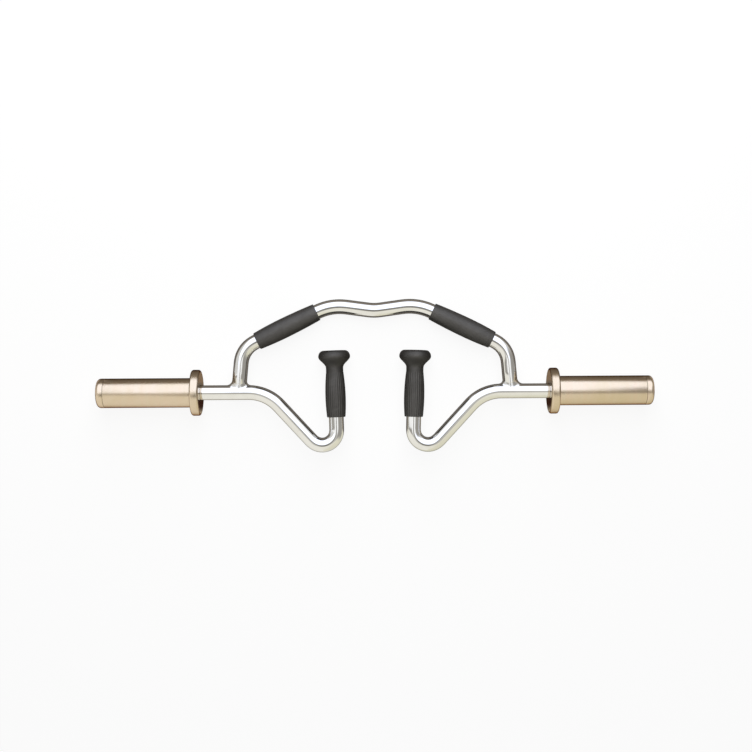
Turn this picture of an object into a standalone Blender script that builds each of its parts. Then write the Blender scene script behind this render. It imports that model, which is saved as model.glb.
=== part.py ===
"""Triceps bar: a welded round-bar frame with rubber grips and two plate sleeves that turn.

X runs along the sleeves and +Z is up. The bar lies on the floor on its two collars and on
the inner ends of its arch grips, so the frame leans about the sleeve axis until they touch.
Places on the frame are given in its own plane: X as above, Y from the sleeve axis to the arch.
"""
import math

import bmesh
import bpy
from mathutils import Matrix, Vector

# Overall sizes
OVERALL_LENGTH = 0.940
COLLAR_SPACING = 0.590
BAR_DIAMETER = 0.025

# Lower bars: where their straight runs would cross, and the radii that round those corners
LOWER_BEND_X = 0.1834
LOWER_BEND_RADIUS = 0.070
U_BEND_X = 0.0630
U_BEND_Y = -0.1308
U_BEND_RADIUS = 0.0248
HANDLE_LEAN = math.radians(1.7)

# Arch bar: the corners of its runs and the radii that round them
ARCH_FOOT_X = 0.2308
ARCH_SHOULDER_X = 0.2242
ARCH_SHOULDER_Y = 0.0746
ARCH_SHOULDER_RADIUS = 0.043
ARCH_CREST_X = 0.0735
ARCH_CREST_Y = 0.1473
ARCH_CREST_RADIUS = 0.086
ARCH_DIP_Y = 0.1373
ARCH_DIP_RADIUS = 0.068

# Dressed weld round each foot of the arch
WELD_LEG = 0.0075
WELD_HOLLOW = 0.0008
WELD_FRONT_HEIGHT = 0.0155
WELD_FRONT_BULGE = 0.0012
WELD_WRAP = math.radians(80)

# Rubber grips on the arch, measured along the slope from its shoulder corner
ARCH_GRIP_START = 0.0278
ARCH_GRIP_LENGTH = 0.1125
ARCH_GRIP_END_DIAMETER = 0.0294
ARCH_GRIP_DIAMETER = 0.0336
ARCH_GRIP_FATTEST = 0.43

# Rubber handle grips with their knobs, measured down from the flat top of the knob
KNOB_TOP_Y = 0.0703
KNOB_TOP_DIAMETER = 0.0370
KNOB_DIAMETER = 0.0540
KNOB_RIM_DROP = 0.0105
KNOB_UNDERSIDE_DROP = 0.0200
KNOB_UNDERSIDE_CURVE = 1.25
KNOB_CROWN = 0.0060
NECK_DIAMETER = 0.0292
NECK_LENGTH = 0.0055
HANDLE_BARREL_LENGTH = 0.0770
HANDLE_BARREL_DIAMETER = 0.0345
HANDLE_BARREL_FATTEST = 0.56
HANDLE_END_DIAMETER = 0.0312

# Ribs moulded along the handle grips
HANDLE_RIBS = 28
RIB_DEPTH = 0.0005

# Sleeve units, measured outwards from the collar's inner face
COLLAR_DIAMETER = 0.078
COLLAR_THICKNESS = 0.015
COLLAR_EDGE_RADIUS = 0.0035
COLLAR_WEB = 0.004
SLEEVE_DIAMETER = 0.050
CAP_HEAD = 0.0125
CAP_EDGE_RADIUS = 0.0065
CAP_SPIGOT_LENGTH = 0.006

# Journal, bushes and what holds the sleeve on
SHOULDER_HEIGHT = 0.0025
SHOULDER_PAST_WEB = 0.0010
BUSH_WALL = 0.0055
BUSH_LENGTH = 0.022
BUSH_FLANGE_LIP = 0.0030
BUSH_FLANGE_THICKNESS = 0.0030
OUTER_BUSH_RECESS = 0.022
WASHER_RIM = 0.0080
WASHER_THICKNESS = 0.0020
RING_THICKNESS = 0.0015
RING_RIM = 0.0035
RING_GAP_ANGLE = math.radians(40)
RING_LUG = 0.0015
RING_LUG_ANGLE = math.radians(22)
GROOVE_DEPTH = 0.0010
JOURNAL_PAST_GROOVE = 0.0030
JOURNAL_CHAMFER = 0.0010

# Fits
SEAT_GAP = 0.0003
BAR_CLEARANCE = 0.0005
STEP_CHAMFER = 0.0001

# Smoothness of the round shapes
BAR_SIDES = 20
SLEEVE_SIDES = 36
HARDWARE_SIDES = 18
ARCH_GRIP_SIDES = 28
BEND_STEP = math.radians(8.5)
COLLAR_EDGE_STEPS = 3
CAP_EDGE_STEPS = 4
ARCH_GRIP_STEPS = 6
HANDLE_BARREL_STEPS = 5
KNOB_RIM_STEPS = 4
KNOB_UNDERSIDE_STEPS = 5
WELD_SECTIONS = 24
WELD_FACE_STEPS = 3
SHARP_ANGLE = math.radians(31)
MERGE_DISTANCE = 0.00001

# Sizes that follow from those above
BAR_RADIUS = BAR_DIAMETER / 2
JOURNAL_RADIUS = BAR_RADIUS - SHOULDER_HEIGHT
COLLAR_FACE_X = COLLAR_SPACING / 2
SLEEVE_UNIT_LENGTH = OVERALL_LENGTH / 2 - COLLAR_FACE_X
SHOULDER_Z = COLLAR_WEB + SHOULDER_PAST_WEB
TUBE_START_Z = COLLAR_WEB + SEAT_GAP
TUBE_END_Z = SLEEVE_UNIT_LENGTH - CAP_HEAD - SEAT_GAP
BUSH_BORE_RADIUS = JOURNAL_RADIUS + SEAT_GAP
BUSH_RADIUS = BUSH_BORE_RADIUS + BUSH_WALL
TUBE_BORE_RADIUS = BUSH_RADIUS + SEAT_GAP
FLANGE_RADIUS = BUSH_RADIUS + BUSH_FLANGE_LIP
RECESS_RADIUS = FLANGE_RADIUS + SEAT_GAP
INNER_WASHER_Z = SHOULDER_Z + SEAT_GAP
INNER_FLANGE_Z = INNER_WASHER_Z + WASHER_THICKNESS + SEAT_GAP
INNER_RECESS_Z = INNER_FLANGE_Z + BUSH_FLANGE_THICKNESS + SEAT_GAP
OUTER_RECESS_Z = TUBE_END_Z - OUTER_BUSH_RECESS
OUTER_FLANGE_Z = OUTER_RECESS_Z + SEAT_GAP
OUTER_WASHER_Z = OUTER_FLANGE_Z + BUSH_FLANGE_THICKNESS + SEAT_GAP
RING_Z = OUTER_WASHER_Z + WASHER_THICKNESS + SEAT_GAP
GROOVE_START_Z = RING_Z - SEAT_GAP
GROOVE_END_Z = RING_Z + RING_THICKNESS + SEAT_GAP
GROOVE_RADIUS = JOURNAL_RADIUS - GROOVE_DEPTH
RING_BORE_RADIUS = GROOVE_RADIUS + SEAT_GAP
JOURNAL_END_Z = GROOVE_END_Z + JOURNAL_PAST_GROOVE
HANDLE_GRIP_LENGTH = KNOB_RIM_DROP + KNOB_UNDERSIDE_DROP + NECK_LENGTH + HANDLE_BARREL_LENGTH

PARTS = "triceps_bar"
SIDES = {"left": -1, "right": 1}


def clear_scene():
    for obj in list(bpy.data.objects):
        bpy.data.objects.remove(obj)


def parts_collection():
    collection = bpy.data.collections.new(PARTS)
    bpy.context.scene.collection.children.link(collection)
    return collection


def make_material(name, colour, metallic, roughness):
    material = bpy.data.materials.new(name)
    material.use_nodes = True
    shader = material.node_tree.nodes["Principled BSDF"]
    shader.inputs["Base Color"].default_value = (*colour, 1.0)
    shader.inputs["Metallic"].default_value = metallic
    shader.inputs["Roughness"].default_value = roughness
    material.diffuse_color = (*colour, 1.0)
    return material


def make_materials():
    return {
        "chrome": make_material("chrome", (0.78, 0.78, 0.76), 1.0, 0.10),
        "satin_nickel": make_material("satin_nickel", (0.70, 0.60, 0.49), 1.0, 0.28),
        "rubber": make_material("rubber", (0.045, 0.043, 0.040), 0.0, 0.62),
        "bronze": make_material("bronze", (0.62, 0.40, 0.18), 1.0, 0.40),
        "spring_steel": make_material("spring_steel", (0.16, 0.16, 0.17), 1.0, 0.45),
    }


# Tools that every piece uses

def flat(x, y):
    """A point in the plane of the frame."""
    return Vector((x, y, 0.0))


def add_object(name, data):
    obj = bpy.data.objects.new(name, data)
    bpy.data.collections[PARTS].objects.link(obj)
    return obj


def replace_mesh(obj):
    """Put what the object evaluates to in place of its data and modifiers."""
    depsgraph = bpy.context.evaluated_depsgraph_get()
    depsgraph.update()
    mesh = bpy.data.meshes.new_from_object(obj.evaluated_get(depsgraph))
    shape = bmesh.new()
    shape.from_mesh(mesh)
    bmesh.ops.remove_doubles(shape, verts=shape.verts, dist=MERGE_DISTANCE)
    shape.to_mesh(mesh)
    shape.free()
    mesh.name = obj.name
    if obj.type == 'CURVE':
        solid = add_object(obj.name + "_solid", mesh)
        solid.matrix_world = obj.matrix_world.copy()
        name = obj.name
        bpy.data.objects.remove(obj)
        solid.name = name
        return solid
    obj.modifiers.clear()
    obj.data = mesh
    return obj


def combine(obj, other, operation):
    """Join the other solid to this one or cut it away, and drop the other."""
    modifier = obj.modifiers.new(operation.lower(), 'BOOLEAN')
    modifier.object = other
    modifier.operation = operation
    modifier.solver = 'EXACT'
    solid = replace_mesh(obj)
    bpy.data.objects.remove(other)
    return solid


def finish(obj, material, parent):
    obj.data.materials.clear()
    obj.data.materials.append(material)
    obj.data.shade_smooth()
    obj.data.set_sharp_from_angle(angle=SHARP_ANGLE)
    obj.parent = parent
    return obj


def turned(name, profile, sides):
    """A turned solid round local Z; the profile (radius, height) runs down its outer side."""
    on_axis = profile[0][0] == 0.0
    mesh = bpy.data.meshes.new(name)
    count = len(profile)
    edges = [(i, i + 1) for i in range(count - 1)]
    if not on_axis:
        edges.append((count - 1, 0))
    mesh.from_pydata([(radius, 0.0, height) for radius, height in profile], edges, [])
    obj = add_object(name, mesh)
    screw = obj.modifiers.new("turn", 'SCREW')
    screw.axis = 'Z'
    screw.steps = sides
    screw.render_steps = sides
    screw.use_merge_vertices = True
    screw.merge_threshold = MERGE_DISTANCE
    return replace_mesh(obj)


def arc(centre_radius, centre_height, radius, start, end, steps):
    """Profile points on an arc, its angles counted from the outward direction, upwards."""
    points = []
    for i in range(steps + 1):
        angle = math.radians(start + (end - start) * i / steps)
        points.append((centre_radius + radius * math.cos(angle),
                       centre_height + radius * math.sin(angle)))
    return points


def bent_line(corners):
    """Points along a line through the corners, each corner rounded to its own radius."""
    points = [corners[0][0]]
    for (before, _), (corner, radius), (after, _) in zip(corners, corners[1:], corners[2:]):
        arrive = (corner - before).normalized()
        leave = (after - corner).normalized()
        turn = arrive.angle(leave)
        inward = (leave - arrive * arrive.dot(leave)).normalized()
        start = corner - arrive * radius * math.tan(turn / 2)
        centre = start + inward * radius
        steps = math.ceil(turn / BEND_STEP)
        for i in range(steps + 1):
            angle = turn * i / steps
            points.append(centre + (arrive * math.sin(angle) - inward * math.cos(angle)) * radius)
    points.append(corners[-1][0])
    return points


def round_bar(name, stations):
    """A round bar through the stations, each a point with the bar's radius there."""
    curve = bpy.data.curves.new(name, 'CURVE')
    curve.dimensions = '3D'
    curve.bevel_depth = BAR_RADIUS
    curve.bevel_resolution = (BAR_SIDES - 4) // 2
    curve.use_fill_caps = True
    spline = curve.splines.new('POLY')
    spline.points.add(len(stations) - 1)
    for point, (place, radius) in zip(spline.points, stations):
        point.co = (*place, 1.0)
        point.radius = radius / BAR_RADIUS
    return replace_mesh(add_object(name, curve))


# Routes of the bars

def handle_top():
    """Where the bar ends inside the knob."""
    y = KNOB_TOP_Y - KNOB_CROWN
    return flat(U_BEND_X + (y - U_BEND_Y) * math.tan(HANDLE_LEAN), y)


def lower_route(side):
    """The lower bar's route from its end in the knob to the shoulder of its journal."""
    corners = [
        (handle_top(), 0.0),
        (flat(U_BEND_X, U_BEND_Y), U_BEND_RADIUS),
        (flat(LOWER_BEND_X, 0.0), LOWER_BEND_RADIUS),
        (flat(COLLAR_FACE_X + SHOULDER_Z, 0.0), 0.0),
    ]
    return [flat(point.x * side, point.y) for point in bent_line(corners)]


def arch_route():
    """The arch bar's route from foot to foot, from left to right."""
    half = [
        (flat(ARCH_CREST_X, ARCH_CREST_Y), ARCH_CREST_RADIUS),
        (flat(ARCH_SHOULDER_X, ARCH_SHOULDER_Y), ARCH_SHOULDER_RADIUS),
        (flat(ARCH_FOOT_X, 0.0), 0.0),
    ]
    mirrored = [(flat(-point.x, point.y), radius) for point, radius in reversed(half)]
    return bent_line(mirrored + [(flat(0.0, ARCH_DIP_Y), ARCH_DIP_RADIUS)] + half)


def arch_slope():
    """The unit direction of the right slope, from its shoulder corner up to its crest."""
    return (flat(ARCH_CREST_X, ARCH_CREST_Y) - flat(ARCH_SHOULDER_X, ARCH_SHOULDER_Y)).normalized()


def arch_grip_end(distance):
    """A point on the right slope, so far from its shoulder corner."""
    return flat(ARCH_SHOULDER_X, ARCH_SHOULDER_Y) + arch_slope() * distance


# How the bar lies

def resting_lean():
    """The angle at which the first part of the frame meets the floor."""
    collar_radius = COLLAR_DIAMETER / 2
    fattest = ARCH_GRIP_START + ARCH_GRIP_LENGTH * ARCH_GRIP_FATTEST
    touching = [
        (max(point.y for point in arch_route()), BAR_RADIUS),
        (arch_grip_end(ARCH_GRIP_START + ARCH_GRIP_LENGTH).y, ARCH_GRIP_END_DIAMETER / 2),
        (arch_grip_end(fattest).y, ARCH_GRIP_DIAMETER / 2),
        (KNOB_TOP_Y - KNOB_RIM_DROP, KNOB_DIAMETER / 2),
    ]
    return min(math.asin((collar_radius - radius) / y) for y, radius in touching)


def sleeve_axis_y():
    """The sleeve axis's distance from the middle of the whole bar's depth."""
    highest = max(point.y for point in arch_route())
    lowest = min(point.y for point in lower_route(1))
    return -(highest + lowest) / 2 * math.cos(resting_lean())


def add_anchor(name, matrix):
    """An empty that carries the pieces of one body."""
    anchor = add_object(name, None)
    anchor.empty_display_size = COLLAR_DIAMETER
    anchor.matrix_world = matrix
    return anchor


def make_anchors():
    axis = Matrix.Translation((0.0, sleeve_axis_y(), COLLAR_DIAMETER / 2))
    anchors = {"frame": add_anchor("frame_plane", axis @ Matrix.Rotation(-resting_lean(), 4, 'X'))}
    for side_name, side in SIDES.items():
        place = axis @ Matrix.Translation((COLLAR_FACE_X * side, 0.0, 0.0))
        outward = Matrix.Rotation(math.radians(90) * side, 4, 'Y')
        anchors[side_name] = add_anchor(side_name + "_sleeve_axis", place @ outward)
    return anchors


# Frame

def journal_stations(side):
    """The turned end of a lower bar: journal, ring groove and chamfered tip."""
    turned_end = [
        (SHOULDER_Z + STEP_CHAMFER, JOURNAL_RADIUS),
        (GROOVE_START_Z, JOURNAL_RADIUS),
        (GROOVE_START_Z + STEP_CHAMFER, GROOVE_RADIUS),
        (GROOVE_END_Z - STEP_CHAMFER, GROOVE_RADIUS),
        (GROOVE_END_Z, JOURNAL_RADIUS),
        (JOURNAL_END_Z - JOURNAL_CHAMFER, JOURNAL_RADIUS),
        (JOURNAL_END_Z, JOURNAL_RADIUS - JOURNAL_CHAMFER),
    ]
    return [(flat((COLLAR_FACE_X + z) * side, 0.0), radius) for z, radius in turned_end]


def make_lower_bar(side_name, side, material, parent):
    stations = [(point, BAR_RADIUS) for point in lower_route(side)] + journal_stations(side)
    finish(round_bar(side_name + "_lower_bar", stations), material, parent)


def weld_section(side, angle):
    """The dressed weld at one angle round the foot: its face from top to toe, then its root."""
    along = math.cos(angle)
    across = math.sin(angle)
    foot = flat(ARCH_FOOT_X * side, 0.0)
    upward = (flat(ARCH_SHOULDER_X * side, ARCH_SHOULDER_Y) - foot).normalized()
    outward = flat(upward.y, -upward.x) * along + Vector((0.0, 0.0, across))
    reach = BAR_RADIUS + WELD_LEG
    height = math.hypot(reach * along, WELD_FRONT_HEIGHT * across)
    axis_point = foot + upward * (height / upward.y)
    top = axis_point + outward * (BAR_RADIUS - SEAT_GAP)
    wrap = math.asin(across * math.sin(WELD_WRAP))
    toe = foot + Vector((reach * along, BAR_RADIUS * math.cos(wrap), BAR_RADIUS * math.sin(wrap)))
    swell = WELD_FRONT_BULGE * across ** 2 - WELD_HOLLOW * along ** 2
    bow = (top + toe) / 2 + (outward + flat(0.0, abs(along))).normalized() * swell * 2
    face = []
    for i in range(WELD_FACE_STEPS + 1):
        share = i / WELD_FACE_STEPS
        face.append(top * (1 - share) ** 2 + bow * 2 * share * (1 - share) + toe * share ** 2)
    root = foot + upward * (height / 2) + outward * (BAR_RADIUS / 2)
    return face + [root]


def make_weld(side):
    """The dressed weld as a ring lofted round the saddle where the foot meets the lower bar."""
    shape = bmesh.new()
    rings = []
    for i in range(WELD_SECTIONS):
        section = weld_section(side, 2 * math.pi * i / WELD_SECTIONS)
        rings.append([shape.verts.new(point) for point in section])
    for ring, after in zip(rings, rings[1:] + rings[:1]):
        for i in range(len(ring)):
            shape.faces.new((ring[i - 1], ring[i], after[i], after[i - 1]))
    bmesh.ops.recalc_face_normals(shape, faces=shape.faces)
    mesh = bpy.data.meshes.new("weld")
    shape.to_mesh(mesh)
    shape.free()
    return add_object("weld", mesh)


def lower_bar_cutter(side):
    """What the lower bar takes out of the foot that is coped over it."""
    reach = BAR_RADIUS + 2 * WELD_LEG
    ends = [flat(ARCH_FOOT_X * side - reach, 0.0), flat(ARCH_FOOT_X * side + reach, 0.0)]
    return round_bar("lower_bar_cutter", [(end, BAR_RADIUS + SEAT_GAP) for end in ends])


def make_arch_bar(material, parent):
    arch = round_bar("arch_bar", [(point, BAR_RADIUS) for point in arch_route()])
    for side in SIDES.values():
        arch = combine(arch, make_weld(side), 'UNION')
        arch = combine(arch, lower_bar_cutter(side), 'DIFFERENCE')
    finish(arch, material, parent)


# Grips

def barrel(length, start_diameter, fattest_diameter, end_diameter, fattest, steps):
    """Profile points of a barrel from height 0 down, fattest at that share of its length."""
    points = []
    for i in range(steps + 1):
        share = i / steps
        if share < fattest:
            drop = (fattest_diameter - start_diameter) / 2 * ((fattest - share) / fattest) ** 2
        else:
            drop = (fattest_diameter - end_diameter) / 2 * ((share - fattest) / (1 - fattest)) ** 2
        points.append((fattest_diameter / 2 - drop, -length * share))
    return points


def press_ribs(obj, top, bottom):
    """Press in every other line of points between two heights, which leaves ribs standing."""
    step = math.pi / HANDLE_RIBS
    for vertex in obj.data.vertices:
        radius = math.hypot(vertex.co.x, vertex.co.y)
        line = round(math.atan2(vertex.co.y, vertex.co.x) / step)
        if radius > BAR_RADIUS and line % 2 and bottom <= vertex.co.z <= top:
            vertex.co.x *= 1 - RIB_DEPTH / radius
            vertex.co.y *= 1 - RIB_DEPTH / radius


def bar_sheath(points):
    """The room a bar needs inside a grip."""
    first_run = (points[0] - points[1]).normalized()
    last_run = (points[-1] - points[-2]).normalized()
    ends = [points[0] + first_run * SEAT_GAP] + points[1:-1] + [points[-1] + last_run * SEAT_GAP]
    return round_bar("bar_sheath", [(point, BAR_RADIUS + SEAT_GAP) for point in ends])


def make_arch_grip(side_name, side, material, parent):
    profile = barrel(ARCH_GRIP_LENGTH, ARCH_GRIP_END_DIAMETER, ARCH_GRIP_DIAMETER,
                     ARCH_GRIP_END_DIAMETER, ARCH_GRIP_FATTEST, ARCH_GRIP_STEPS)
    profile = [(0.0, 0.0)] + profile + [(0.0, -ARCH_GRIP_LENGTH)]
    grip = turned(side_name + "_arch_grip", profile, ARCH_GRIP_SIDES)
    start = arch_grip_end(ARCH_GRIP_START)
    slope = arch_slope()
    lean = math.atan2(slope.x * side, -slope.y)
    grip.matrix_world = (Matrix.Translation(flat(start.x * side, start.y))
                         @ Matrix.Rotation(lean, 4, 'Z') @ Matrix.Rotation(math.radians(-90), 4, 'X'))
    finish(combine(grip, bar_sheath(arch_route()), 'DIFFERENCE'), material, parent)


def handle_profile():
    """Outer profile of a handle grip, from the middle of the knob's top down."""
    knob_radius = KNOB_DIAMETER / 2
    top_radius = KNOB_TOP_DIAMETER / 2
    neck_radius = NECK_DIAMETER / 2
    points = [(0.0, 0.0)]
    for i in range(KNOB_RIM_STEPS + 1):
        angle = math.radians(90) * i / KNOB_RIM_STEPS
        points.append((top_radius + (knob_radius - top_radius) * math.sin(angle),
                       -KNOB_RIM_DROP * (1 - math.cos(angle))))
    for i in range(1, KNOB_UNDERSIDE_STEPS + 1):
        share = i / KNOB_UNDERSIDE_STEPS
        swell = ((1 + math.cos(math.pi * share)) / 2) ** KNOB_UNDERSIDE_CURVE
        points.append((neck_radius + (knob_radius - neck_radius) * swell,
                       -KNOB_RIM_DROP - KNOB_UNDERSIDE_DROP * share))
    barrel_top = HANDLE_BARREL_LENGTH - HANDLE_GRIP_LENGTH
    points += [(radius, height + barrel_top) for radius, height in barrel(
        HANDLE_BARREL_LENGTH, NECK_DIAMETER, HANDLE_BARREL_DIAMETER, HANDLE_END_DIAMETER,
        HANDLE_BARREL_FATTEST, HANDLE_BARREL_STEPS)]
    return points + [(0.0, -HANDLE_GRIP_LENGTH)]


def make_handle_grip(side_name, side, material, parent):
    grip = turned(side_name + "_handle_grip", handle_profile(), 2 * HANDLE_RIBS)
    ribs_top = HANDLE_BARREL_LENGTH - HANDLE_GRIP_LENGTH - RIB_DEPTH
    press_ribs(grip, ribs_top, -HANDLE_GRIP_LENGTH)
    top = handle_top() + flat(math.sin(HANDLE_LEAN), math.cos(HANDLE_LEAN)) * KNOB_CROWN
    grip.matrix_world = (Matrix.Translation(flat(top.x * side, top.y))
                         @ Matrix.Rotation(-HANDLE_LEAN * side, 4, 'Z')
                         @ Matrix.Rotation(math.radians(-90), 4, 'X'))
    finish(combine(grip, bar_sheath(lower_route(side)), 'DIFFERENCE'), material, parent)


# Sleeve units; heights are distances outwards from the collar's inner face

def place_on_journal(obj, side):
    """Set a frame piece on its journal, its heights running outwards."""
    obj.matrix_world = (Matrix.Translation(flat(COLLAR_FACE_X * side, 0.0))
                        @ Matrix.Rotation(math.radians(90) * side, 4, 'Y'))


def make_collar(side_name, material, parent):
    radius = COLLAR_DIAMETER / 2
    pocket = SLEEVE_DIAMETER / 2 + SEAT_GAP
    bore = BAR_RADIUS + BAR_CLEARANCE
    edge = COLLAR_EDGE_RADIUS
    profile = [(pocket, COLLAR_WEB), (pocket, COLLAR_THICKNESS)]
    profile += arc(radius - edge, COLLAR_THICKNESS - edge, edge, 90, 0, COLLAR_EDGE_STEPS)
    profile += arc(radius - edge, edge, edge, 0, -90, COLLAR_EDGE_STEPS)
    profile += [(bore, 0.0), (bore, COLLAR_WEB)]
    finish(turned(side_name + "_collar", profile, SLEEVE_SIDES), material, parent)


def make_sleeve_tube(side_name, material, parent):
    radius = SLEEVE_DIAMETER / 2
    profile = [
        (RECESS_RADIUS, TUBE_END_Z), (radius, TUBE_END_Z),
        (radius, TUBE_START_Z), (RECESS_RADIUS, TUBE_START_Z),
        (RECESS_RADIUS, INNER_RECESS_Z), (TUBE_BORE_RADIUS, INNER_RECESS_Z),
        (TUBE_BORE_RADIUS, OUTER_RECESS_Z), (RECESS_RADIUS, OUTER_RECESS_Z),
    ]
    finish(turned(side_name + "_sleeve_tube", profile, SLEEVE_SIDES), material, parent)


def make_end_cap(side_name, material, parent):
    radius = SLEEVE_DIAMETER / 2
    edge = CAP_EDGE_RADIUS
    head = SLEEVE_UNIT_LENGTH - CAP_HEAD
    spigot = RECESS_RADIUS - SEAT_GAP
    profile = [(0.0, SLEEVE_UNIT_LENGTH)]
    profile += arc(radius - edge, SLEEVE_UNIT_LENGTH - edge, edge, 90, 0, CAP_EDGE_STEPS)
    profile += [(radius, head), (spigot, head), (spigot, head - CAP_SPIGOT_LENGTH)]
    profile += [(0.0, head - CAP_SPIGOT_LENGTH)]
    finish(turned(side_name + "_end_cap", profile, SLEEVE_SIDES), material, parent)


def make_inner_bush(side_name, material, parent):
    flange_top = INNER_FLANGE_Z + BUSH_FLANGE_THICKNESS
    end = flange_top + BUSH_LENGTH
    profile = [
        (BUSH_BORE_RADIUS, end), (BUSH_RADIUS, end), (BUSH_RADIUS, flange_top),
        (FLANGE_RADIUS, flange_top), (FLANGE_RADIUS, INNER_FLANGE_Z),
        (BUSH_BORE_RADIUS, INNER_FLANGE_Z),
    ]
    finish(turned(side_name + "_inner_bush", profile, HARDWARE_SIDES), material, parent)


def make_outer_bush(side_name, material, parent):
    flange_top = OUTER_FLANGE_Z + BUSH_FLANGE_THICKNESS
    end = OUTER_FLANGE_Z - BUSH_LENGTH
    profile = [
        (BUSH_BORE_RADIUS, flange_top), (FLANGE_RADIUS, flange_top),
        (FLANGE_RADIUS, OUTER_FLANGE_Z), (BUSH_RADIUS, OUTER_FLANGE_Z), (BUSH_RADIUS, end),
        (BUSH_BORE_RADIUS, end),
    ]
    finish(turned(side_name + "_outer_bush", profile, HARDWARE_SIDES), material, parent)


def make_thrust_washer(name, side, height, material, parent):
    bore = JOURNAL_RADIUS + SEAT_GAP
    rim = bore + WASHER_RIM
    top = height + WASHER_THICKNESS
    profile = [(bore, top), (rim, top), (rim, height), (bore, height)]
    washer = turned(name, profile, HARDWARE_SIDES)
    place_on_journal(washer, side)
    finish(washer, material, parent)


def ring_outline():
    """Outline of the open retaining ring, with a lug on each side of its gap."""
    steps = HARDWARE_SIDES
    start = RING_GAP_ANGLE / 2
    span = 2 * math.pi - RING_GAP_ANGLE
    angles = [start + span * i / steps for i in range(steps + 1)]
    outline = []
    for angle in angles:
        near_gap = min(angle - start, start + span - angle) < RING_LUG_ANGLE
        outline.append((RING_BORE_RADIUS + RING_RIM + RING_LUG * near_gap, angle))
    outline += [(RING_BORE_RADIUS, angle) for angle in reversed(angles)]
    return [(radius * math.cos(angle), radius * math.sin(angle)) for radius, angle in outline]


def make_retaining_ring(side_name, side, material, parent):
    curve = bpy.data.curves.new("ring", 'CURVE')
    curve.dimensions = '2D'
    curve.fill_mode = 'BOTH'
    curve.extrude = RING_THICKNESS / 2
    spline = curve.splines.new('POLY')
    outline = ring_outline()
    spline.points.add(len(outline) - 1)
    for point, (x, y) in zip(spline.points, outline):
        point.co = (x, y, 0.0, 1.0)
    spline.use_cyclic_u = True
    ring = replace_mesh(add_object(side_name + "_retaining_ring", curve))
    ring.data.transform(Matrix.Translation((0.0, 0.0, RING_Z + RING_THICKNESS / 2)))
    place_on_journal(ring, side)
    finish(ring, material, parent)


def make_sleeve_unit(side_name, side, materials, anchors):
    carrier = anchors[side_name]
    make_collar(side_name, materials["satin_nickel"], carrier)
    make_sleeve_tube(side_name, materials["satin_nickel"], carrier)
    make_end_cap(side_name, materials["satin_nickel"], carrier)
    make_inner_bush(side_name, materials["bronze"], carrier)
    make_outer_bush(side_name, materials["bronze"], carrier)
    make_thrust_washer(side_name + "_inner_thrust_washer", side, INNER_WASHER_Z,
                       materials["bronze"], anchors["frame"])
    make_thrust_washer(side_name + "_outer_thrust_washer", side, OUTER_WASHER_Z,
                       materials["bronze"], anchors["frame"])
    make_retaining_ring(side_name, side, materials["spring_steel"], anchors["frame"])


def main():
    clear_scene()
    parts_collection()
    materials = make_materials()
    anchors = make_anchors()
    make_arch_bar(materials["chrome"], anchors["frame"])
    for side_name, side in SIDES.items():
        make_lower_bar(side_name, side, materials["chrome"], anchors["frame"])
        make_arch_grip(side_name, side, materials["rubber"], anchors["frame"])
        make_handle_grip(side_name, side, materials["rubber"], anchors["frame"])
        make_sleeve_unit(side_name, side, materials, anchors)


main()
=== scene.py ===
"""Dresses the packed triceps bar: polished bars with dressed welds, moulded grips, turned sleeves,
their finishes, and the studio it is photographed in.

Places on the frame are given in its own plane, as the maker draws it: X along the sleeves, Y from
the sleeve axis to the arch. The plane leans about the sleeve axis, as the bar lies on the floor.
"""
import math

import bmesh
import bpy
from bpy.props import FloatProperty, FloatVectorProperty, IntProperty, PointerProperty
from bpy.types import Operator, Panel, PropertyGroup
from mathutils import Matrix, Vector
from mathutils.geometry import interpolate_bezier


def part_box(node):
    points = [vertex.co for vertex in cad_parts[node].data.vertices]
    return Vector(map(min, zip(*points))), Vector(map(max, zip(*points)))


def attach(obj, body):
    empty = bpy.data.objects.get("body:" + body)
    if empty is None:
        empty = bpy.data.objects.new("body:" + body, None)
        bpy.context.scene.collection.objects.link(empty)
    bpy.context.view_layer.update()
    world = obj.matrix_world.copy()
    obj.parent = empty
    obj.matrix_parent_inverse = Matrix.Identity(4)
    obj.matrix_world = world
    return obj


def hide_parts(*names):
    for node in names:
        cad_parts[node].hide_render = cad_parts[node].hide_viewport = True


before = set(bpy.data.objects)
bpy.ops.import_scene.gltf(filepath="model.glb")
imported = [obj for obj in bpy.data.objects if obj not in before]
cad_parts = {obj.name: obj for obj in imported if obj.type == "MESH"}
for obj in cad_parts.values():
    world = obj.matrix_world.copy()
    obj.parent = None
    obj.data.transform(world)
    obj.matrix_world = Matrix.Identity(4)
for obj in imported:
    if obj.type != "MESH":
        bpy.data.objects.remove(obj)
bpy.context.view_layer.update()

bl_info = {
    "name": "Triceps bar",
    "version": (1, 0, 0),
    "blender": (4, 5, 0),
    "location": "View3D > Sidebar > Triceps Bar",
    "description": "Bars, welds, grips, sleeves, finishes and studio of a triceps bar",
    "category": "Object",
}

SIDES = {"left": -1, "right": 1}

# What the packed model says
COLLAR_LOW, COLLAR_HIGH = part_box("right_collar")
CAP_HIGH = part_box("right_end_cap")[1]
SLEEVE_LOW, SLEEVE_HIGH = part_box("right_sleeve_tube")
AXIS_Y = (COLLAR_LOW.y + COLLAR_HIGH.y) / 2
AXIS_Z = (COLLAR_LOW.z + COLLAR_HIGH.z) / 2

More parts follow.
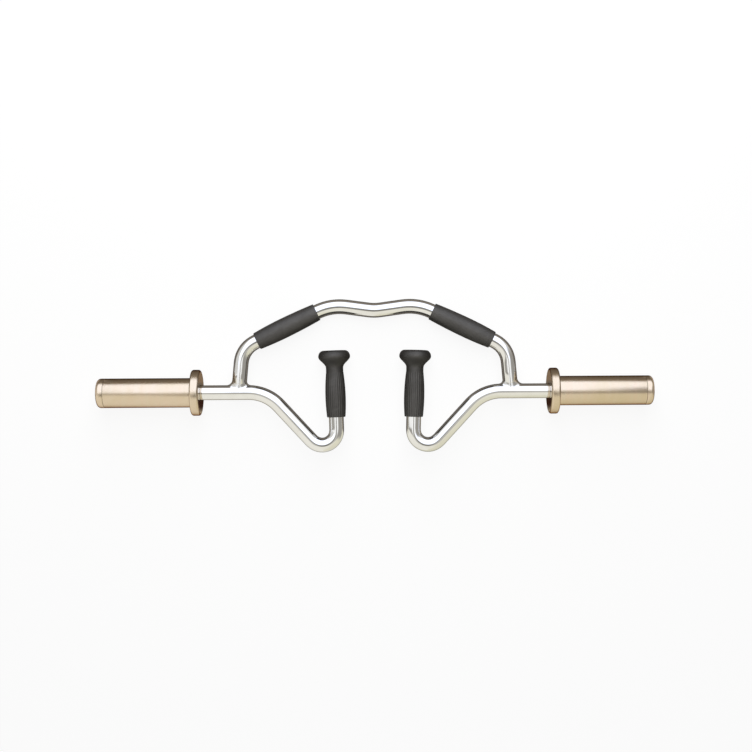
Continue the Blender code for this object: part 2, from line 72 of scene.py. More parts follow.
# Smoothness of the meshes
BAR_SIDES = 64
BEND_STEP = math.radians(3.0)
RUN_IN_STEPS = 6
TURNED_SIDES = 128
HANDLE_RIB_SIDES = 8
BARREL_STEPS = 36
KNOB_STEPS = 14
WELD_STEPS = 12
CUT_EDGE_STEPS = 4
BROKEN_EDGE_STEPS = 2
COLLAR_EDGE_STEPS = 8
CAP_EDGE_STEPS = 10
SHARP_ANGLE = math.radians(32)
MERGE_DISTANCE = 0.000001
SEAM_DISTANCE = 0.00001

# A collar's face counts as faced where its normal runs along the sleeve by this share at least
FACED = 0.9

# How far the handling marks of each lower bar are shifted, so that the bars' marks differ
MARKS_APART = 1.0

# Power that narrows the grooves between the ribs
GROOVE_POWER = 1.5

# Watts for each unit of radiance and square metre of the key light
LAMP_SCALE = math.pi

# From the middle of the floor to its edges
FLOOR_REACH = 12.0

# Point layers that the finishes read
STRAIGHT = "straight"
DRESSED = "dressed"
CREST = "crest"


def length(name, default, description):
    return FloatProperty(name=name, description=description, default=default, min=0.0,
                         unit='LENGTH', precision=5)


def place(name, default, description):
    return FloatProperty(name=name, description=description, default=default,
                         unit='LENGTH', precision=5)


def angle(name, degrees, description):
    return FloatProperty(name=name, description=description, default=math.radians(degrees),
                         subtype='ANGLE', precision=5)


def share(name, default, description):
    return FloatProperty(name=name, description=description, default=default, min=0.0, max=1.0,
                         subtype='FACTOR')


def strength(name, default, description):
    return FloatProperty(name=name, description=description, default=default, min=0.0)


def slope(name, default, description):
    return FloatProperty(name=name, description=description, default=default)


def radiance(name, default, description):
    return FloatVectorProperty(name=name, description=description, default=default, size=3,
                               min=0.0)


def colour(name, default, description):
    return FloatVectorProperty(name=name, description=description, default=default, size=3,
                               min=0.0, max=1.0, subtype='COLOR')


class BarSizes(PropertyGroup):
    """Bars"""

    diameter: length("Bar diameter", 0.025, "Diameter of the round bar")
    lean: angle("Lean", 10.3064, "How far the frame leans from level, lying on collars and grips")
    lower_bend_x: place("Lower bend X", 0.1834, "Where the lower bar leaves the sleeve axis")
    lower_bend_radius: length("Lower bend radius", 0.069, "Radius of that bend")
    u_bend_x: place("U-bend X", 0.0630, "Corner of the U-bend below the handle")
    u_bend_y: place("U-bend Y", -0.1308, "Corner of the U-bend below the handle")
    u_bend_radius: length("U-bend radius", 0.0244, "Radius of the U-bend")
    handle_lean: angle("Handle lean", 1.7, "Lean of the upright handle, outwards at the top")
    foot_x: place("Arch foot X", 0.2308, "Where the arch's foot meets the sleeve axis")
    shoulder_x: place("Shoulder X", 0.2242, "Corner of the arch's shoulder")
    shoulder_y: place("Shoulder Y", 0.0746, "Corner of the arch's shoulder")
    shoulder_radius: length("Shoulder radius", 0.0422, "Radius of the shoulder bend")
    crest_x: place("Crest X", 0.0735, "Corner of the arch's crest")
    crest_y: place("Crest Y", 0.1473, "Corner of the arch's crest")
    crest_radius: length("Crest radius", 0.086, "Radius of the crest bend")
    dip_y: place("Dip Y", 0.1373, "Corner of the dip in the arch's middle")
    dip_radius: length("Dip radius", 0.068, "Radius of the dip")
    run_in: length("Bend run-in", 0.012, "Length over which a bend tightens to its radius")


class WeldSizes(PropertyGroup):
    """Welds"""

    leg: length("Leg", 0.0075, "How far the weld runs out along the lower bar")
    front_height: length("Front height", 0.0140, "Height of the weld's upper edge at the front")
    hollow: length("Hollow", 0.0006, "How far the dressing wheel has cut in at the front")
    bead: length("Bead", 0.00006, "Step left at the weld's two edges by the dressing wheel")
    bead_width: length("Bead width", 0.0008, "Width of that step")
    wrap: angle("Wrap", 80.0, "How far the weld runs round the lower bar")
    ease: share("Ease", 0.34, "How soon the weld's face leaves the bars' own direction")


class GripSizes(PropertyGroup):
    """Grips"""

    arch_start: length("Arch grip start", 0.0278, "From the shoulder's corner to the grip")
    arch_length: length("Arch grip length", 0.1125, "Length of a grip on the arch")
    arch_end_diameter: length("Arch grip end diameter", 0.0294, "Diameter at its ends")
    arch_diameter: length("Arch grip diameter", 0.0336, "Diameter at its fattest")
    arch_fattest: share("Arch grip fattest", 0.43, "Where it is fattest, from the shoulder")
    knob_top_y: place("Knob top Y", 0.0703, "Height of the knob's top on the frame")
    knob_top_diameter: length("Knob top diameter", 0.0370, "Diameter of the knob's flat top")
    knob_diameter: length("Knob diameter", 0.0540, "Diameter of the knob's rim")
    knob_rim_drop: length("Knob rim drop", 0.0105, "From the knob's top to its widest line")
    knob_underside_drop: length("Knob underside", 0.0200, "From its widest line to the neck")
    knob_underside_curve: FloatProperty(name="Underside curve", default=1.25, min=0.5, max=3.0,
                                        description="How early the underside draws in")
    knob_crown: length("Knob crown", 0.0060, "Rubber over the bar's end")
    neck_diameter: length("Neck diameter", 0.0292, "Diameter under the knob")
    neck_length: length("Neck length", 0.0055, "Length of the plain neck")
    barrel_length: length("Handle length", 0.0770, "Length of the ribbed part")
    barrel_diameter: length("Handle diameter", 0.0345, "Diameter at its fattest")
    barrel_fattest: share("Handle fattest", 0.56, "Where it is fattest, from the neck")
    barrel_end_diameter: length("Handle end diameter", 0.0312, "Diameter at its lower end")
    ribs: IntProperty(name="Ribs", description="Ribs round a handle grip", default=28, min=8)
    rib_depth: length("Rib depth", 0.00045, "Depth of the grooves between the ribs")
    rib_run_in: length("Rib run-in", 0.0012, "Length over which the grooves reach that depth")
    edge: length("Edge radius", 0.0009, "Rounding of the grips' cut ends")
    squeeze: length("Squeeze", 0.00005, "How much the bore is smaller than the bar it grips")


class SleeveSizes(PropertyGroup):
    """Sleeves"""

    web: length("Collar web", 0.004, "Thickness of the collar's inner wall")
    collar_edge: length("Collar edge", 0.0035, "Rounding of the collar's rim")
    bar_clearance: length("Bar clearance", 0.0005, "Room round the bar in the collar")
    fit: length("Fit", 0.0003, "Room between pieces that sit in each other")
    break_edge: length("Broken edge", 0.0005, "Chamfer on turned edges")
    cap_edge: length("Cap edge", 0.0065, "Rounding of the end cap")
    cap_spigot: length("Cap spigot", 0.006, "How far the cap reaches into the tube")
    bush_wall: length("Bush wall", 0.0055, "Wall of the bushes on the journal")
    flange_lip: length("Flange lip", 0.0030, "How far a bush's flange stands out")
    flange_thickness: length("Flange thickness", 0.0030, "Thickness of a bush's flange")
    washer_thickness: length("Washer thickness", 0.0020, "Thickness of a thrust washer")
    outer_recess: length("Outer recess", 0.022, "Depth of the recess at the tube's outer end")
    journal_step: length("Journal step", 0.0025, "Step from the bar down to its journal")
    shoulder_past_web: length("Shoulder past web", 0.0010, "From the web to that step")
    ring_thickness: length("Ring thickness", 0.0015, "Thickness of the retaining ring")
    groove_depth: length("Groove depth", 0.0010, "Depth of the ring's groove")
    journal_past_groove: length("Journal past groove", 0.0030, "Journal beyond the groove")
    journal_chamfer: length("Journal chamfer", 0.0010, "Chamfer on the journal's end")


class Finishes(PropertyGroup):
    """Finishes"""

    chrome: colour("Chrome", (0.83, 0.83, 0.815), "Polished chrome of the bars")
    # Painted shade: an edge tint far darker than chrome's own.
    chrome_edge_shade: colour("Chrome edge", (0.26, 0.26, 0.25), "Chrome seen at a glancing angle")
    nickel: colour("Nickel", (0.70, 0.60, 0.47), "Warm satin nickel of sleeves and collars")
    # Painted shade: an edge tint far darker than nickel's own; the faced edge below is pale.
    nickel_edge_shade: colour("Nickel edge", (0.15, 0.045, 0.022), "Nickel seen at a glancing angle")
    faced_edge: colour("Faced edge", (0.90, 0.86, 0.80), "Faced nickel seen at a glancing angle")
    rubber: colour("Rubber", (0.072, 0.067, 0.060), "Moulded rubber of the handles")
    # Lighter than the handles' rubber: partly painted light, as the arch grips face the key light,
    # and partly the dust on them.
    arch_rubber_dusty_and_lit: colour("Arch rubber", (0.088, 0.083, 0.077), "Moulded rubber on the arch")
    # Painted shade: the share of each rubber's colour left where it is seen at a glancing angle,
    # taking less off on the arch, whose grips face the key light.
    rubber_edge_shade: share("Rubber edge", 0.2, "Share of its colour left at a glancing angle")
    arch_rubber_edge_shade: share("Arch rubber edge", 0.45, "The same for the rubber on the arch")
    rubber_worn: colour("Rubbed rubber", (0.145, 0.139, 0.130), "Rubber where hands rub it")
    bronze: colour("Bronze", (0.62, 0.40, 0.18), "Bearing bronze of bushes and washers")
    bronze_dull: colour("Dull bronze", (0.30, 0.17, 0.07), "Bronze where oil has dulled it")
    spring_steel: colour("Spring steel", (0.16, 0.16, 0.17), "Phosphated retaining rings")


class StudioSettings(PropertyGroup):
    """Studio"""

    distance: length("Camera distance", 2.0, "From the camera to the frame's plane")
    picture_width: length("Picture width", 1.275, "Width seen at the frame's plane")
    aim_x: place("Aim X", 0.0021, "Middle of the picture on the frame")
    aim_y: place("Aim Y", 0.0266, "Middle of the picture on the frame")
    roll: angle("Roll", 0.35, "Roll of the camera, which lifts the object's right side")
    floor: colour("Floor", (0.20, 0.20, 0.20), "Pale floor")
    floor_lift: strength("Floor lift", 0.89, "What the floor shows the camera beyond its own light")
    sky: strength("Room light", 0.14, "Soft light from all round")
    key: strength("Key light", 2.60, "Radiance of the large front light")
    key_from: angle("Key from", 3.0, "Lower edge of the key light, from the camera's direction")
    key_to: angle("Key to", 76.0, "Upper edge of the key light, towards the arch")
    key_width: length("Key width", 1.3, "Width of the key light")
    panel_side: slope("Panel side", 0.90, "How far its mirrored panel reaches to each side")
    panel: radiance("Panel", (1.44, 1.52, 1.76), "What metal mirrors of the key light")
    room: colour("Room", (0.75, 0.74, 0.72), "What metal mirrors past the key light's edges")
    shade: colour("Shade", (0.56, 0.545, 0.51), "The strip mirrored just below the camera")
    shade_peak: slope("Shade peak", 0.05, "Slope at which that strip starts in its middle")
    shade_start: slope("Shade start", -0.12, "Slope at which it starts at its sides")
    shade_end: slope("Shade end", -0.45, "Slope at which it ends")
    below_lamp: radiance("Below the lamp", (1.1, 1.1, 1.1), "Mirrored between strip and lamp")
    shade_middle: colour("Shade middle", (0.25, 0.24, 0.22), "The strip's dark middle")
    shade_middle_slope: slope("Middle's slope", 0.10, "How far that reaches to each side")
    pale_cream: colour("Pale cream", (0.96, 0.935, 0.86), "What metal mirrors below, on the left")
    cream: colour("Cream", (0.84, 0.81, 0.655), "What metal mirrors below, on the right")
    grey: colour("Grey side", (0.36, 0.345, 0.32), "What metal mirrors on the right")
    # Painted reflections: colours that only metal sees on the floor, some of them painted shade and
    # a painted glint.
    near_floor: colour("Near floor", (0.72, 0.65, 0.52), "What metal mirrors on the floor by it")
    near_floor_y: place("Near floor starts", -0.115, "Where the mirrored floor is shaded")
    far_floor: colour("Far floor", (0.20, 0.178, 0.155), "What metal mirrors low past the arch")
    far_floor_y: place("Far floor starts", -0.065, "Where the mirrored floor turns dark")
    bends_side: length("Bends side", 0.15, "How far the dark between the bends reaches")
    horizon: colour("Horizon", (0.34, 0.30, 0.26), "What metal mirrors far past the arch")
    horizon_y: place("Horizon reached", 0.45, "Where the mirrored floor has brightened to that")
    beyond_caps: colour("Beyond the caps", (1.0, 1.0, 1.0), "Mirrored floor past the end caps")
    glint: colour("Collar glint", (0.29, 0.22, 0.16), "Mirrored floor just past the collars' axis")
    contact: colour("Collar contact", (0.045, 0.02, 0.014), "Mirrored shade under the collars")


GROUPS = {
    "triceps_bar_sizes": BarSizes,
    "triceps_weld_sizes": WeldSizes,
    "triceps_grip_sizes": GripSizes,
    "triceps_sleeve_sizes": SleeveSizes,
    "triceps_finishes": Finishes,
    "triceps_studio": StudioSettings,
}


# Places

def flat(x, y):
    """A point in the plane of the frame."""
    return Vector((x, y, 0.0))


def frame_plane(bar):
    """From the plane of the frame to where the bar lies."""
    return Matrix.Translation((0.0, AXIS_Y, AXIS_Z)) @ Matrix.Rotation(-bar.lean, 4, 'X')


def sleeve_place(side):
    """From heights outwards from the collar's inner face to where that sleeve is."""
    return (Matrix.Translation((COLLAR_LOW.x * side, AXIS_Y, AXIS_Z))
            @ Matrix.Rotation(math.radians(90) * side, 4, 'Y'))


def arch_slope(bar):
    """The unit direction of the right slope, from its shoulder up to its crest."""
    return (flat(bar.crest_x, bar.crest_y) - flat(bar.shoulder_x, bar.shoulder_y)).normalized()


def handle_axis(bar, grips):
    """The middle of the right knob's top, and the direction that the handle points up."""
    upward = flat(math.sin(bar.handle_lean), math.cos(bar.handle_lean))
    bar_end = grips.knob_top_y - grips.knob_crown
    end = flat(bar.u_bend_x + (bar_end - bar.u_bend_y) * math.tan(bar.handle_lean), bar_end)
    return end + upward * grips.knob_crown, upward


def half(side):
    """From a place on the right half to the same one on that side."""
    return Matrix.Diagonal((side, 1.0, 1.0, 1.0))


# Making meshes

def bend_arcs(bend_radius, turn, run_in):
    """The short arcs (radius, turn) of a bend: tightening, steady, and opening out again."""
    tightening = []
    for i in range(RUN_IN_STEPS):
        arc_radius = bend_radius * RUN_IN_STEPS / (i + 0.5)
        tightening.append((arc_radius, run_in / RUN_IN_STEPS / arc_radius))
    steady = abs(turn) - run_in / bend_radius
    steps = 2 * math.ceil(steady / BEND_STEP / 2)
    arcs = tightening + [(bend_radius, steady / steps)] * steps + tightening[::-1]
    return [(arc_radius, math.copysign(swing, turn)) for arc_radius, swing in arcs]


def reach(arcs):
    """How far ahead and aside the arcs end, and how far they have turned."""
    ahead, aside, turned_by = 0.0, 0.0, 0.0
    for arc_radius, swing in arcs:
        after = turned_by + abs(swing)
        ahead += arc_radius * (math.sin(after) - math.sin(turned_by))
        aside += arc_radius * (math.cos(turned_by) - math.cos(after))
        turned_by = after
    return ahead, aside, turned_by


class BentBar:
    """A round bar drawn out of one ring of edges, fed and bent as on a bending machine.

    Each point keeps the place that it had on the straight bar, for marks that follow the bar.
    """

    def __init__(self, start, heading, radius):
        self.shape = bmesh.new()
        self.straight = self.shape.verts.layers.float_vector.new(STRAIGHT)
        self.dressed = self.shape.verts.layers.float.new(DRESSED)
        self.place = start.copy()
        self.heading = heading.normalized()
        self.radius = radius
        self.run = 0.0
        ring = bmesh.ops.create_circle(self.shape, cap_ends=False, radius=radius,
                                       segments=BAR_SIDES)
        self.verts = ring["verts"]
        self.edges = list(self.shape.edges)
        for vertex in self.verts:
            vertex[self.straight] = vertex.co.copy()
        turn = Vector((0.0, 0.0, 1.0)).rotation_difference(self.heading).to_matrix()
        bmesh.ops.rotate(self.shape, cent=(0.0, 0.0, 0.0), matrix=turn, verts=self.verts)
        bmesh.ops.translate(self.shape, verts=self.verts, vec=self.place)
        self.first_edges = list(self.edges)

    def draw_out(self, bar_length):
        """Start the next ring on top of the last one, so much further along the straight bar."""
        made = bmesh.ops.extrude_edge_only(self.shape, edges=self.edges)["geom"]
        fresh = [item for item in made if isinstance(item, bmesh.types.BMVert)]
        self.edges = [item for item in made
                      if isinstance(item, bmesh.types.BMEdge) and item.is_boundary]
        self.run += bar_length
        ring = []
        for before in self.verts:
            after = min(fresh, key=lambda vertex: (vertex.co - before.co).length_squared)
            on_straight = before[self.straight]
            after[self.straight] = Vector((on_straight.x, on_straight.y, self.run))
            ring.append(after)
        self.verts = ring

    def feed(self, distance, radius=None):
        """Straight on, and to another radius where one is given."""
        self.draw_out(distance)
        bmesh.ops.translate(self.shape, verts=self.verts, vec=self.heading * distance)
        self.place = self.place + self.heading * distance
        if radius is not None:
            scale = radius / self.radius
            bmesh.ops.scale(self.shape, vec=(scale, scale, scale),
                            space=Matrix.Translation(-self.place), verts=self.verts)
            self.radius = radius

    def bend(self, arcs):
        """Round a bend in the plane of the frame, to the left where the turns are above 0."""
        for arc_radius, swing in arcs:
            to_centre = flat(-self.heading.y, self.heading.x) * math.copysign(1.0, swing)
            centre = self.place + to_centre * arc_radius
            step = Matrix.Rotation(swing, 3, 'Z')
            self.draw_out(arc_radius * abs(swing))
            bmesh.ops.rotate(self.shape, cent=centre, matrix=step, verts=self.verts)
            self.place = centre + step @ (self.place - centre)
            self.heading = (step @ self.heading).normalized()

    def follow(self, corners, run_in):
        """Along straight runs that would meet at the corners, each rounded to its own radius."""
        for (corner, bend_radius), (after, _) in zip(corners, corners[1:]):
            leave = (after - corner).normalized()
            turn = math.atan2(self.heading.cross(leave).z, self.heading.dot(leave))
            arcs = bend_arcs(bend_radius, turn, run_in)
            _, aside, turned_by = reach(arcs)
            self.feed((corner - self.place).length - aside / math.sin(turned_by))
            self.bend(arcs)
        self.feed((corners[-1][0] - self.place).length)

    def close_ends(self):
        bmesh.ops.edgeloop_fill(self.shape, edges=self.first_edges)
        bmesh.ops.edgeloop_fill(self.shape, edges=self.edges)


def on_profile(vertex):
    """The radius and height of a turned shape's vertex."""
    return Vector((math.hypot(vertex.co.x, vertex.co.y), vertex.co.z))


def turned(profile, sides):
    """A shape turned round Z from points (radius, height, rounding), closed if off the axis.

    A rounding is None, or the size of the edge and the steps in it.
    """
    shape = bmesh.new()
    points = [shape.verts.new((radius, 0.0, height)) for radius, height, _ in profile]
    lines = [shape.edges.new(pair) for pair in zip(points, points[1:])]
    if profile[0][0] > 0.0:
        lines.append(shape.edges.new((points[-1], points[0])))
    bmesh.ops.spin(shape, geom=points + lines, cent=(0.0, 0.0, 0.0), axis=(0.0, 0.0, 1.0),
                   angle=2 * math.pi, steps=sides, use_merge=True, use_duplicate=False)
    bmesh.ops.remove_doubles(shape, verts=shape.verts, dist=MERGE_DISTANCE)
    for radius, height, rounding in profile:
        if rounding is None:
            continue
        corner = Vector((radius, height))
        edges = [edge for edge in shape.edges
                 if all((on_profile(vertex) - corner).length < SEAM_DISTANCE
                        for vertex in edge.verts)]
        size, steps = rounding
        bmesh.ops.bevel(shape, geom=edges, offset=size, offset_type='OFFSET', segments=steps,
                        profile=0.5, affect='EDGES', material=-1, clamp_overlap=True)
    return shape


def barrel(barrel_length, start_diameter, diameter, end_diameter, fattest):
    """Points (radius, height) up a barrel, from height 0, fattest at that share of its length."""
    points = []
    for i in range(BARREL_STEPS + 1):
        part = i / BARREL_STEPS
        if part < fattest:
            drop = (diameter - start_diameter) / 2 * ((fattest - part) / fattest) ** 2
        else:
            drop = (diameter - end_diameter) / 2 * ((part - fattest) / (1 - fattest)) ** 2
        points.append((diameter / 2 - drop, barrel_length * part))
    return points


def add_piece(name, shape, matrix, body, replaced, material):
    """Make a finished piece of the mesh, in its place, for the CAD node that it stands for."""
    bmesh.ops.transform(shape, matrix=matrix, verts=shape.verts)
    bmesh.ops.recalc_face_normals(shape, faces=shape.faces)
    mesh = bpy.data.meshes.new(name)
    shape.to_mesh(mesh)
    shape.free()
    mesh.shade_smooth()
    mesh.set_sharp_from_angle(angle=SHARP_ANGLE)
    mesh.materials.append(material)
    piece = bpy.data.objects.new(name, mesh)
    bpy.context.scene.collection.objects.link(piece)
    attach(piece, body)
    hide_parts(replaced)
    return piece


# Making finishes

# Places of the colours among a Mix node's sockets, which share their names with other kinds
MIX_COLOURS_IN = (6, 7)
MIX_COLOUR_OUT = 2


def add_node(tree, kind, inputs=None, **settings):
    node = tree.nodes.new(kind)
    for name, value in settings.items():
        setattr(node, name, value)
    for socket, value in (inputs or {}).items():
        if isinstance(value, bpy.types.NodeSocket):
            tree.links.new(value, node.inputs[socket])
        else:
            node.inputs[socket].default_value = value
    return node


def calculated(tree, operation, *values):
    return add_node(tree, 'ShaderNodeMath', dict(enumerate(values)),
                    operation=operation).outputs[0]


def ranged(tree, value, to_low, to_high, from_low=0.0, from_high=1.0):
    """The value carried from one range to another, held at its ends."""
    return add_node(tree, 'ShaderNodeMapRange', {
        "Value": value, "From Min": from_low, "From Max": from_high,
        "To Min": to_low, "To Max": to_high}).outputs["Result"]


def rising(tree, value, low, high):
    """0 below the low value and 1 above the high one, smooth between them."""
    return add_node(tree, 'ShaderNodeMapRange', {
        "Value": value, "From Min": low, "From Max": high},
        interpolation_type='SMOOTHSTEP').outputs["Result"]


def mixed(tree, factor, first, second):
    """The first colour where the factor is 0, the second where it is 1."""
    node = add_node(tree, 'ShaderNodeMix', {"Factor": factor}, data_type='RGBA')
    for index, value in zip(MIX_COLOURS_IN, (first, second)):
        if isinstance(value, bpy.types.NodeSocket):
            tree.links.new(value, node.inputs[index])
        else:
            node.inputs[index].default_value = (*value, 1.0)
    return node.outputs[MIX_COLOUR_OUT]


def toned(rgb, shades):
    """A colour with each of its channels scaled."""
    return tuple(value * shade for value, shade in zip(rgb, shades))


def bumped(tree, height, distance, below=None):
    """The normal of a surface that rises by the height, on top of another normal if given."""
    inputs = {"Height": height, "Distance": distance}
    if below is not None:
        inputs["Normal"] = below
    return add_node(tree, 'ShaderNodeBump', inputs).outputs["Normal"]


def noise(tree, vector, scale, detail, roughness=0.5, distortion=0.0):
    return add_node(tree, 'ShaderNodeTexNoise', {
        "Vector": vector, "Scale": scale, "Detail": detail, "Roughness": roughness,
        "Distortion": distortion}).outputs["Fac"]


def object_place(tree):
    return add_node(tree, 'ShaderNodeTexCoord').outputs["Object"]


def point_layer(tree, name, output):
    return add_node(tree, 'ShaderNodeAttribute', attribute_name=name).outputs[output]


def new_group(name, inputs, output):
    """A shader group with named sockets; returns its tree, its inputs and the socket to fill."""
    tree = bpy.data.node_groups.new(name, 'ShaderNodeTree')
    for socket, (kind, default) in inputs.items():
        made = tree.interface.new_socket(name=socket, in_out='INPUT', socket_type=kind)
        if default is not None:
            made.default_value = default
    tree.interface.new_socket(name=output, in_out='OUTPUT', socket_type='NodeSocketFloat')
    start = tree.nodes.new('NodeGroupInput').outputs
    return tree, start, tree.nodes.new('NodeGroupOutput').inputs[output]


def use_group(tree, name, inputs):
    group = bpy.data.node_groups[name]
    return add_node(tree, 'ShaderNodeGroup', inputs, node_tree=group).outputs[0]


def make_handling_marks():
    """Cloudy marks that hands leave: 0 where the surface is clean, 1 where it is touched most."""
    clean_cloud, full_cloud = 0.72, 0.78
    tree, start, mask = new_group("handling_marks", {
        "Vector": ('NodeSocketVector', None), "Size": ('NodeSocketFloat', 0.03),
        "Share": ('NodeSocketFloat', 0.4)}, "Mask")
    per_metre = calculated(tree, 'DIVIDE', 1.0, start["Size"])
    clouds = noise(tree, start["Vector"], per_metre, detail=5.0, roughness=0.62, distortion=0.6)
    clean_below = calculated(tree, 'SUBTRACT', clean_cloud, start["Share"])
    tree.links.new(rising(tree, clouds, clean_below, full_cloud), mask)


def make_fine_lines(name, run, roughness):
    """Fine lines, long in the vector's directions that are named in run."""
    tree, start, height = new_group(name, {
        "Vector": ('NodeSocketVector', None), "Pitch": ('NodeSocketFloat', 0.0006),
        "Stretch": ('NodeSocketFloat', 0.03)}, "Height")
    squash = add_node(tree, 'ShaderNodeCombineXYZ', {
        axis: start["Stretch"] if axis in run else 1.0 for axis in "XYZ"}).outputs[0]
    along = add_node(tree, 'ShaderNodeVectorMath', {0: start["Vector"], 1: squash},
                     operation='MULTIPLY').outputs[0]
    per_metre = calculated(tree, 'DIVIDE', 1.0, start["Pitch"])
    tree.links.new(noise(tree, along, per_metre, detail=3.0, roughness=roughness), height)


def make_moulded_grain():
    """The matt grain that a spark-finished mould leaves on rubber."""
    tree, start, height = new_group("moulded_grain", {
        "Vector": ('NodeSocketVector', None), "Size": ('NodeSocketFloat', 0.0006)}, "Height")
    per_metre = calculated(tree, 'DIVIDE', 1.0, start["Size"])
    cells = add_node(tree, 'ShaderNodeTexVoronoi', {
        "Vector": start["Vector"], "Scale": per_metre, "Randomness": 1.0},
        feature='SMOOTH_F1').outputs["Distance"]
    fine = noise(tree, start["Vector"], per_metre, detail=4.0, roughness=0.7)
    tree.links.new(calculated(tree, 'ADD', cells, fine), height)


def new_finish(name, fixed):
    """A material whose fixed values are set on its shader; returns its tree and that shader."""
    material = bpy.data.materials.new(name)
    material.use_nodes = True
    shader = material.node_tree.nodes["Principled BSDF"]
    for socket, value in fixed.items():
        shader.inputs[socket].default_value = value
    return material.node_tree, shader


def cover(tree, shader, rgb, roughness, normal):
    """Give the shader what changes over the surface."""
    tree.links.new(rgb, shader.inputs["Base Color"])
    tree.links.new(roughness, shader.inputs["Roughness"])
    tree.links.new(normal, shader.inputs["Normal"])


def make_chrome(finishes):
    """Chrome plate: bright, a little wavy from the polishing wheel, touched by hands."""
    clean_roughness, touched_roughness, dressed_roughness = 0.055, 0.13, 0.09
    touched_tone = (0.95, 0.945, 0.93)
    # Painted shade: the chrome's edge tint, far darker than its own, darkens it where it is seen at
    # a glancing angle.
    tree, shader = new_finish("polished_chrome", {
        "Metallic": 1.0, "Specular Tint": (*finishes.chrome_edge_shade, 1.0)})
    on_bar = point_layer(tree, STRAIGHT, "Vector")
    dressed = point_layer(tree, DRESSED, "Fac")
    marks = use_group(tree, "handling_marks", {"Vector": on_bar, "Size": 0.028, "Share": 0.34})
    lines = use_group(tree, "drawn_lines", {"Vector": on_bar, "Pitch": 0.0011, "Stretch": 0.03})
    rgb = mixed(tree, marks, finishes.chrome, toned(finishes.chrome, touched_tone))
    touched = ranged(tree, marks, clean_roughness, touched_roughness)
    roughness = calculated(tree, 'MULTIPLY_ADD', dressed, dressed_roughness, touched)
    drawn_out = add_node(tree, 'ShaderNodeMapping', {
        "Vector": on_bar, "Scale": (1.0, 1.0, 0.35)}).outputs[0]
    wavy = bumped(tree, noise(tree, drawn_out, scale=55.0, detail=1.0), distance=0.00005)
    fine = bumped(tree, lines, distance=0.0000012, below=wavy)
    ground = noise(tree, on_bar, scale=420.0, detail=3.0, roughness=0.6)
    ground_weld = calculated(tree, 'MULTIPLY', ground, dressed)
    cover(tree, shader, rgb, roughness, bumped(tree, ground_weld, distance=0.00003, below=fine))


def make_nickel(name, at_edge, finishes):
    """Satin nickel on turned steel: warm, with fine rings and the sheen of plates slid on."""
    pink_tone, brassy_tone = (1.02, 0.965, 0.95), (0.97, 0.94, 0.86)
    least_band, most_band, least_ring, most_ring = 0.35, 0.65, 0.3, 0.7
    smooth_roughness, ring_roughness, rubbed_roughness = 0.09, 0.14, 0.05
    # Painted shade for turned nickel: its edge tint, far darker than the metal's own, darkens it
    # where it is seen at a glancing angle; faced nickel has a pale edge tint.
    tree, shader = new_finish(name, {
        "Metallic": 1.0, "Specular Tint": (*at_edge, 1.0)})
    on_axis = add_node(tree, 'ShaderNodeMapping', {
        "Vector": object_place(tree), "Location": (0.0, -AXIS_Y, -AXIS_Z)}).outputs[0]
    rings = use_group(tree, "turning_lines", {"Vector": on_axis, "Pitch": 0.0007,
                                              "Stretch": 0.035})
    bands = use_group(tree, "turning_lines", {"Vector": on_axis, "Pitch": 0.011,
                                              "Stretch": 0.08})
    marks = use_group(tree, "handling_marks", {"Vector": on_axis, "Size": 0.045, "Share": 0.40})
    banded = mixed(tree, ranged(tree, bands, 0.0, 1.0, least_band, most_band),
                   toned(finishes.nickel, pink_tone), finishes.nickel)
    rgb = mixed(tree, marks, banded, toned(finishes.nickel, brassy_tone))
    satin = ranged(tree, rings, smooth_roughness, ring_roughness, least_ring, most_ring)
    roughness = calculated(tree, 'MULTIPLY_ADD', marks, rubbed_roughness, satin)
    soft = bumped(tree, bands, distance=0.00002)
    blasted = noise(tree, on_axis, scale=2200.0, detail=1.0)
    grained = bumped(tree, blasted, distance=0.00009, below=soft)
    cover(tree, shader, rgb, roughness, bumped(tree, rings, distance=0.000006, below=grained))


def make_rubber(name, fresh, at_edge, finishes, crested):
    """Moulded rubber: black, greyer where hands rub it, with painted shade that darkens it where it
    is seen at a glancing angle.
    """
    most_rubbed, crest_rubbed, edge_shade_power = 0.7, 0.15, 4.0
    moulded_roughness, rubbed_roughness = 0.54, 0.46
    tree, shader = new_finish(name, {"Metallic": 0.0, "Specular IOR Level": 0.5})
    at = object_place(tree)
    grain = use_group(tree, "moulded_grain", {"Vector": at, "Size": 0.0007})
    marks = use_group(tree, "handling_marks", {"Vector": at, "Size": 0.022, "Share": 0.45})
    rubbed = ranged(tree, marks, 0.0, most_rubbed)
    if crested:
        crest = point_layer(tree, CREST, "Fac")
        rubbed = calculated(tree, 'MULTIPLY_ADD', crest, crest_rubbed, rubbed)
    rubbed_colour = mixed(tree, rubbed, fresh, finishes.rubber_worn)
    # Painted shade: the colour darkens towards the rubber's glancing edges, standing in for the
    # light that falls on it from in front.
    facing = add_node(tree, 'ShaderNodeLayerWeight', {"Blend": 0.5}).outputs["Facing"]
    towards = calculated(tree, 'POWER', calculated(tree, 'SUBTRACT', 1.0, facing), edge_shade_power)
    rgb = mixed(tree, towards, toned(fresh, (at_edge, at_edge, at_edge)), rubbed_colour)
    roughness = ranged(tree, marks, moulded_roughness, rubbed_roughness)
    cover(tree, shader, rgb, roughness, bumped(tree, grain, distance=0.00005))


